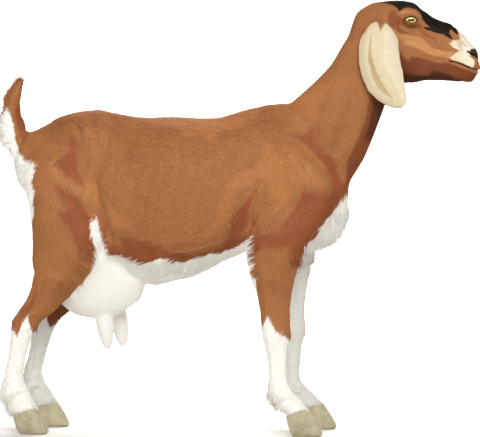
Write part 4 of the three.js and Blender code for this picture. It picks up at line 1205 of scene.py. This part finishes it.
def eyeMaterial():
    # Wet cornea over an amber iris
    values = {"Roughness": 0.12, "Coat Weight": 0.7, "Coat Roughness": 0.03, "IOR": 1.376}
    material, tree, shader = newMaterial("eyeball", values)
    tone = addNode(tree, "ShaderNodeAttribute", {"attribute_name": "eyeColour"})
    tree.links.new(tone.outputs["Color"], shader.inputs["Base Color"])
    return material


skin.data.materials.append(hairMaterial("hairySkin", "skinColour", 0.62, 0.0006, 0.04))
coatHair = hairMaterial("goatHair", "coatColour", 0.5, 0.0003, 0.12)
for piece in coat:
    piece.data.materials.append(coatHair)
horn.data.materials.append(hornMaterial())
wetEye = eyeMaterial()
for ball in eyes:
    ball.data.materials.append(wetEye)

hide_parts(*fleshNodes)
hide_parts(*hornNodes)
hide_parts("eye_right")
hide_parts("eye_left")
for piece, slot in [(skin, "brown_coat"), (horn, "hoof_horn"), (eyes[0], "eye"), (eyes[1], "eye")]:
    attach(piece, "root")
for piece in coat:
    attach(piece, "root")

# Floor, light and camera.

floorSettings = {"size": 20, "middle": (0, -7.5, 0), "steps": 12, "bend": 2.0, "wall": 8, "paint": "dddbd6"}
makeActive(skin)
bpy.ops.mesh.primitive_plane_add(size=floorSettings["size"], location=floorSettings["middle"])
floor = bpy.context.active_object
floor.name = "floor"
bpy.ops.object.mode_set(mode="EDIT")
bpy.ops.mesh.select_mode(type="EDGE")
bpy.ops.mesh.select_all(action="DESELECT")
work = bmesh.from_edit_mesh(floor.data)
for edge in work.edges:
    edge.select_set(all(v.co.y > 0 for v in edge.verts))
bmesh.update_edit_mesh(floor.data)
steps = floorSettings["steps"]
step = floorSettings["bend"] * math.radians(90) / steps
for k in range(steps):  # the floor turns up into a wall far behind
    angle = math.radians(90 * (k + 0.5) / steps)
    bpy.ops.mesh.extrude_edges_move(
        TRANSFORM_OT_translate={"value": (0, step * math.cos(angle), step * math.sin(angle))})
bpy.ops.mesh.extrude_edges_move(TRANSFORM_OT_translate={"value": (0, 0, floorSettings["wall"])})
bpy.ops.object.mode_set(mode="OBJECT")
bpy.ops.object.shade_smooth()
# Matt pale paint, clear from behind, so that the wall hides nothing when seen from its far side
values = {"Base Color": (*linear(floorSettings["paint"]), 1), "Roughness": 0.9}
floorPaint, tree, paint = newMaterial("paleFloor", values)
geometry = addNode(tree, "ShaderNodeNewGeometry")
clear = addNode(tree, "ShaderNodeBsdfTransparent")
faces = {0: geometry.outputs["Backfacing"], 1: paint.outputs["BSDF"], 2: clear.outputs["BSDF"]}
oneSided = addNode(tree, "ShaderNodeMixShader", links=faces)
tree.links.new(oneSided.outputs["Shader"], tree.nodes["Material Output"].inputs["Surface"])
floor.data.materials.append(floorPaint)

world = bpy.data.worlds.new("studio")
bpy.context.scene.world = world
world.use_nodes = True
sky = world.node_tree.nodes["Background"].inputs
sky["Color"].default_value, sky["Strength"].default_value = (1, 1, 1, 1), 0.52


def softLight(name, place, size, watts, aim=(0, 0, 0.5)):
    lamp = bpy.data.lights.new(name, "AREA")
    lamp.energy, lamp.size = watts, size
    holder = bpy.data.objects.new(name, lamp)
    bpy.context.scene.collection.objects.link(holder)
    holder.location = place
    holder.rotation_mode = "QUATERNION"
    holder.rotation_quaternion = (Vector(aim) - Vector(place)).to_track_quat("-Z", "Y")


softLight("key", (1.0, -3.7, 2.6), 1.8, 122)
softLight("fill", (-3.0, -2.6, 1.6), 2.5, 30)
softLight("back", (-0.5, 3.0, 3.2), 2.0, 18)
softLight("wall", (0, 2.6, 4.0), 3.0, 430, (0, 4.5, 2.0))

cameraSettings = {
    "distance": 6.0, "azimuth": math.radians(5), "height": 0.620, "target": (0.0025, 0, 0.5209),
    "mmPerPixel": 2.44, "pixels": 480, "sensor": 36,
}
camera = bpy.data.objects.new("camera", bpy.data.cameras.new("camera"))
bpy.context.scene.collection.objects.link(camera)
bpy.context.scene.camera = camera
target = Vector(cameraSettings["target"])
azimuth, distance = cameraSettings["azimuth"], cameraSettings["distance"]
eye = Vector((target.x + math.sin(azimuth) * distance, -math.cos(azimuth) * distance,
              cameraSettings["height"]))
camera.location = eye
camera.rotation_mode = "QUATERNION"
camera.rotation_quaternion = (target - eye).to_track_quat("-Z", "Y")
camera.data.sensor_width = cameraSettings["sensor"]
frameWidth = cameraSettings["pixels"] * cameraSettings["mmPerPixel"] / 1000
camera.data.lens = (target - eye).length / frameWidth * cameraSettings["sensor"]
camera.data.clip_start, camera.data.clip_end = 0.1, 100

bpy.context.scene.view_settings.view_transform = "Standard"

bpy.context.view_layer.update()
stage("ready")
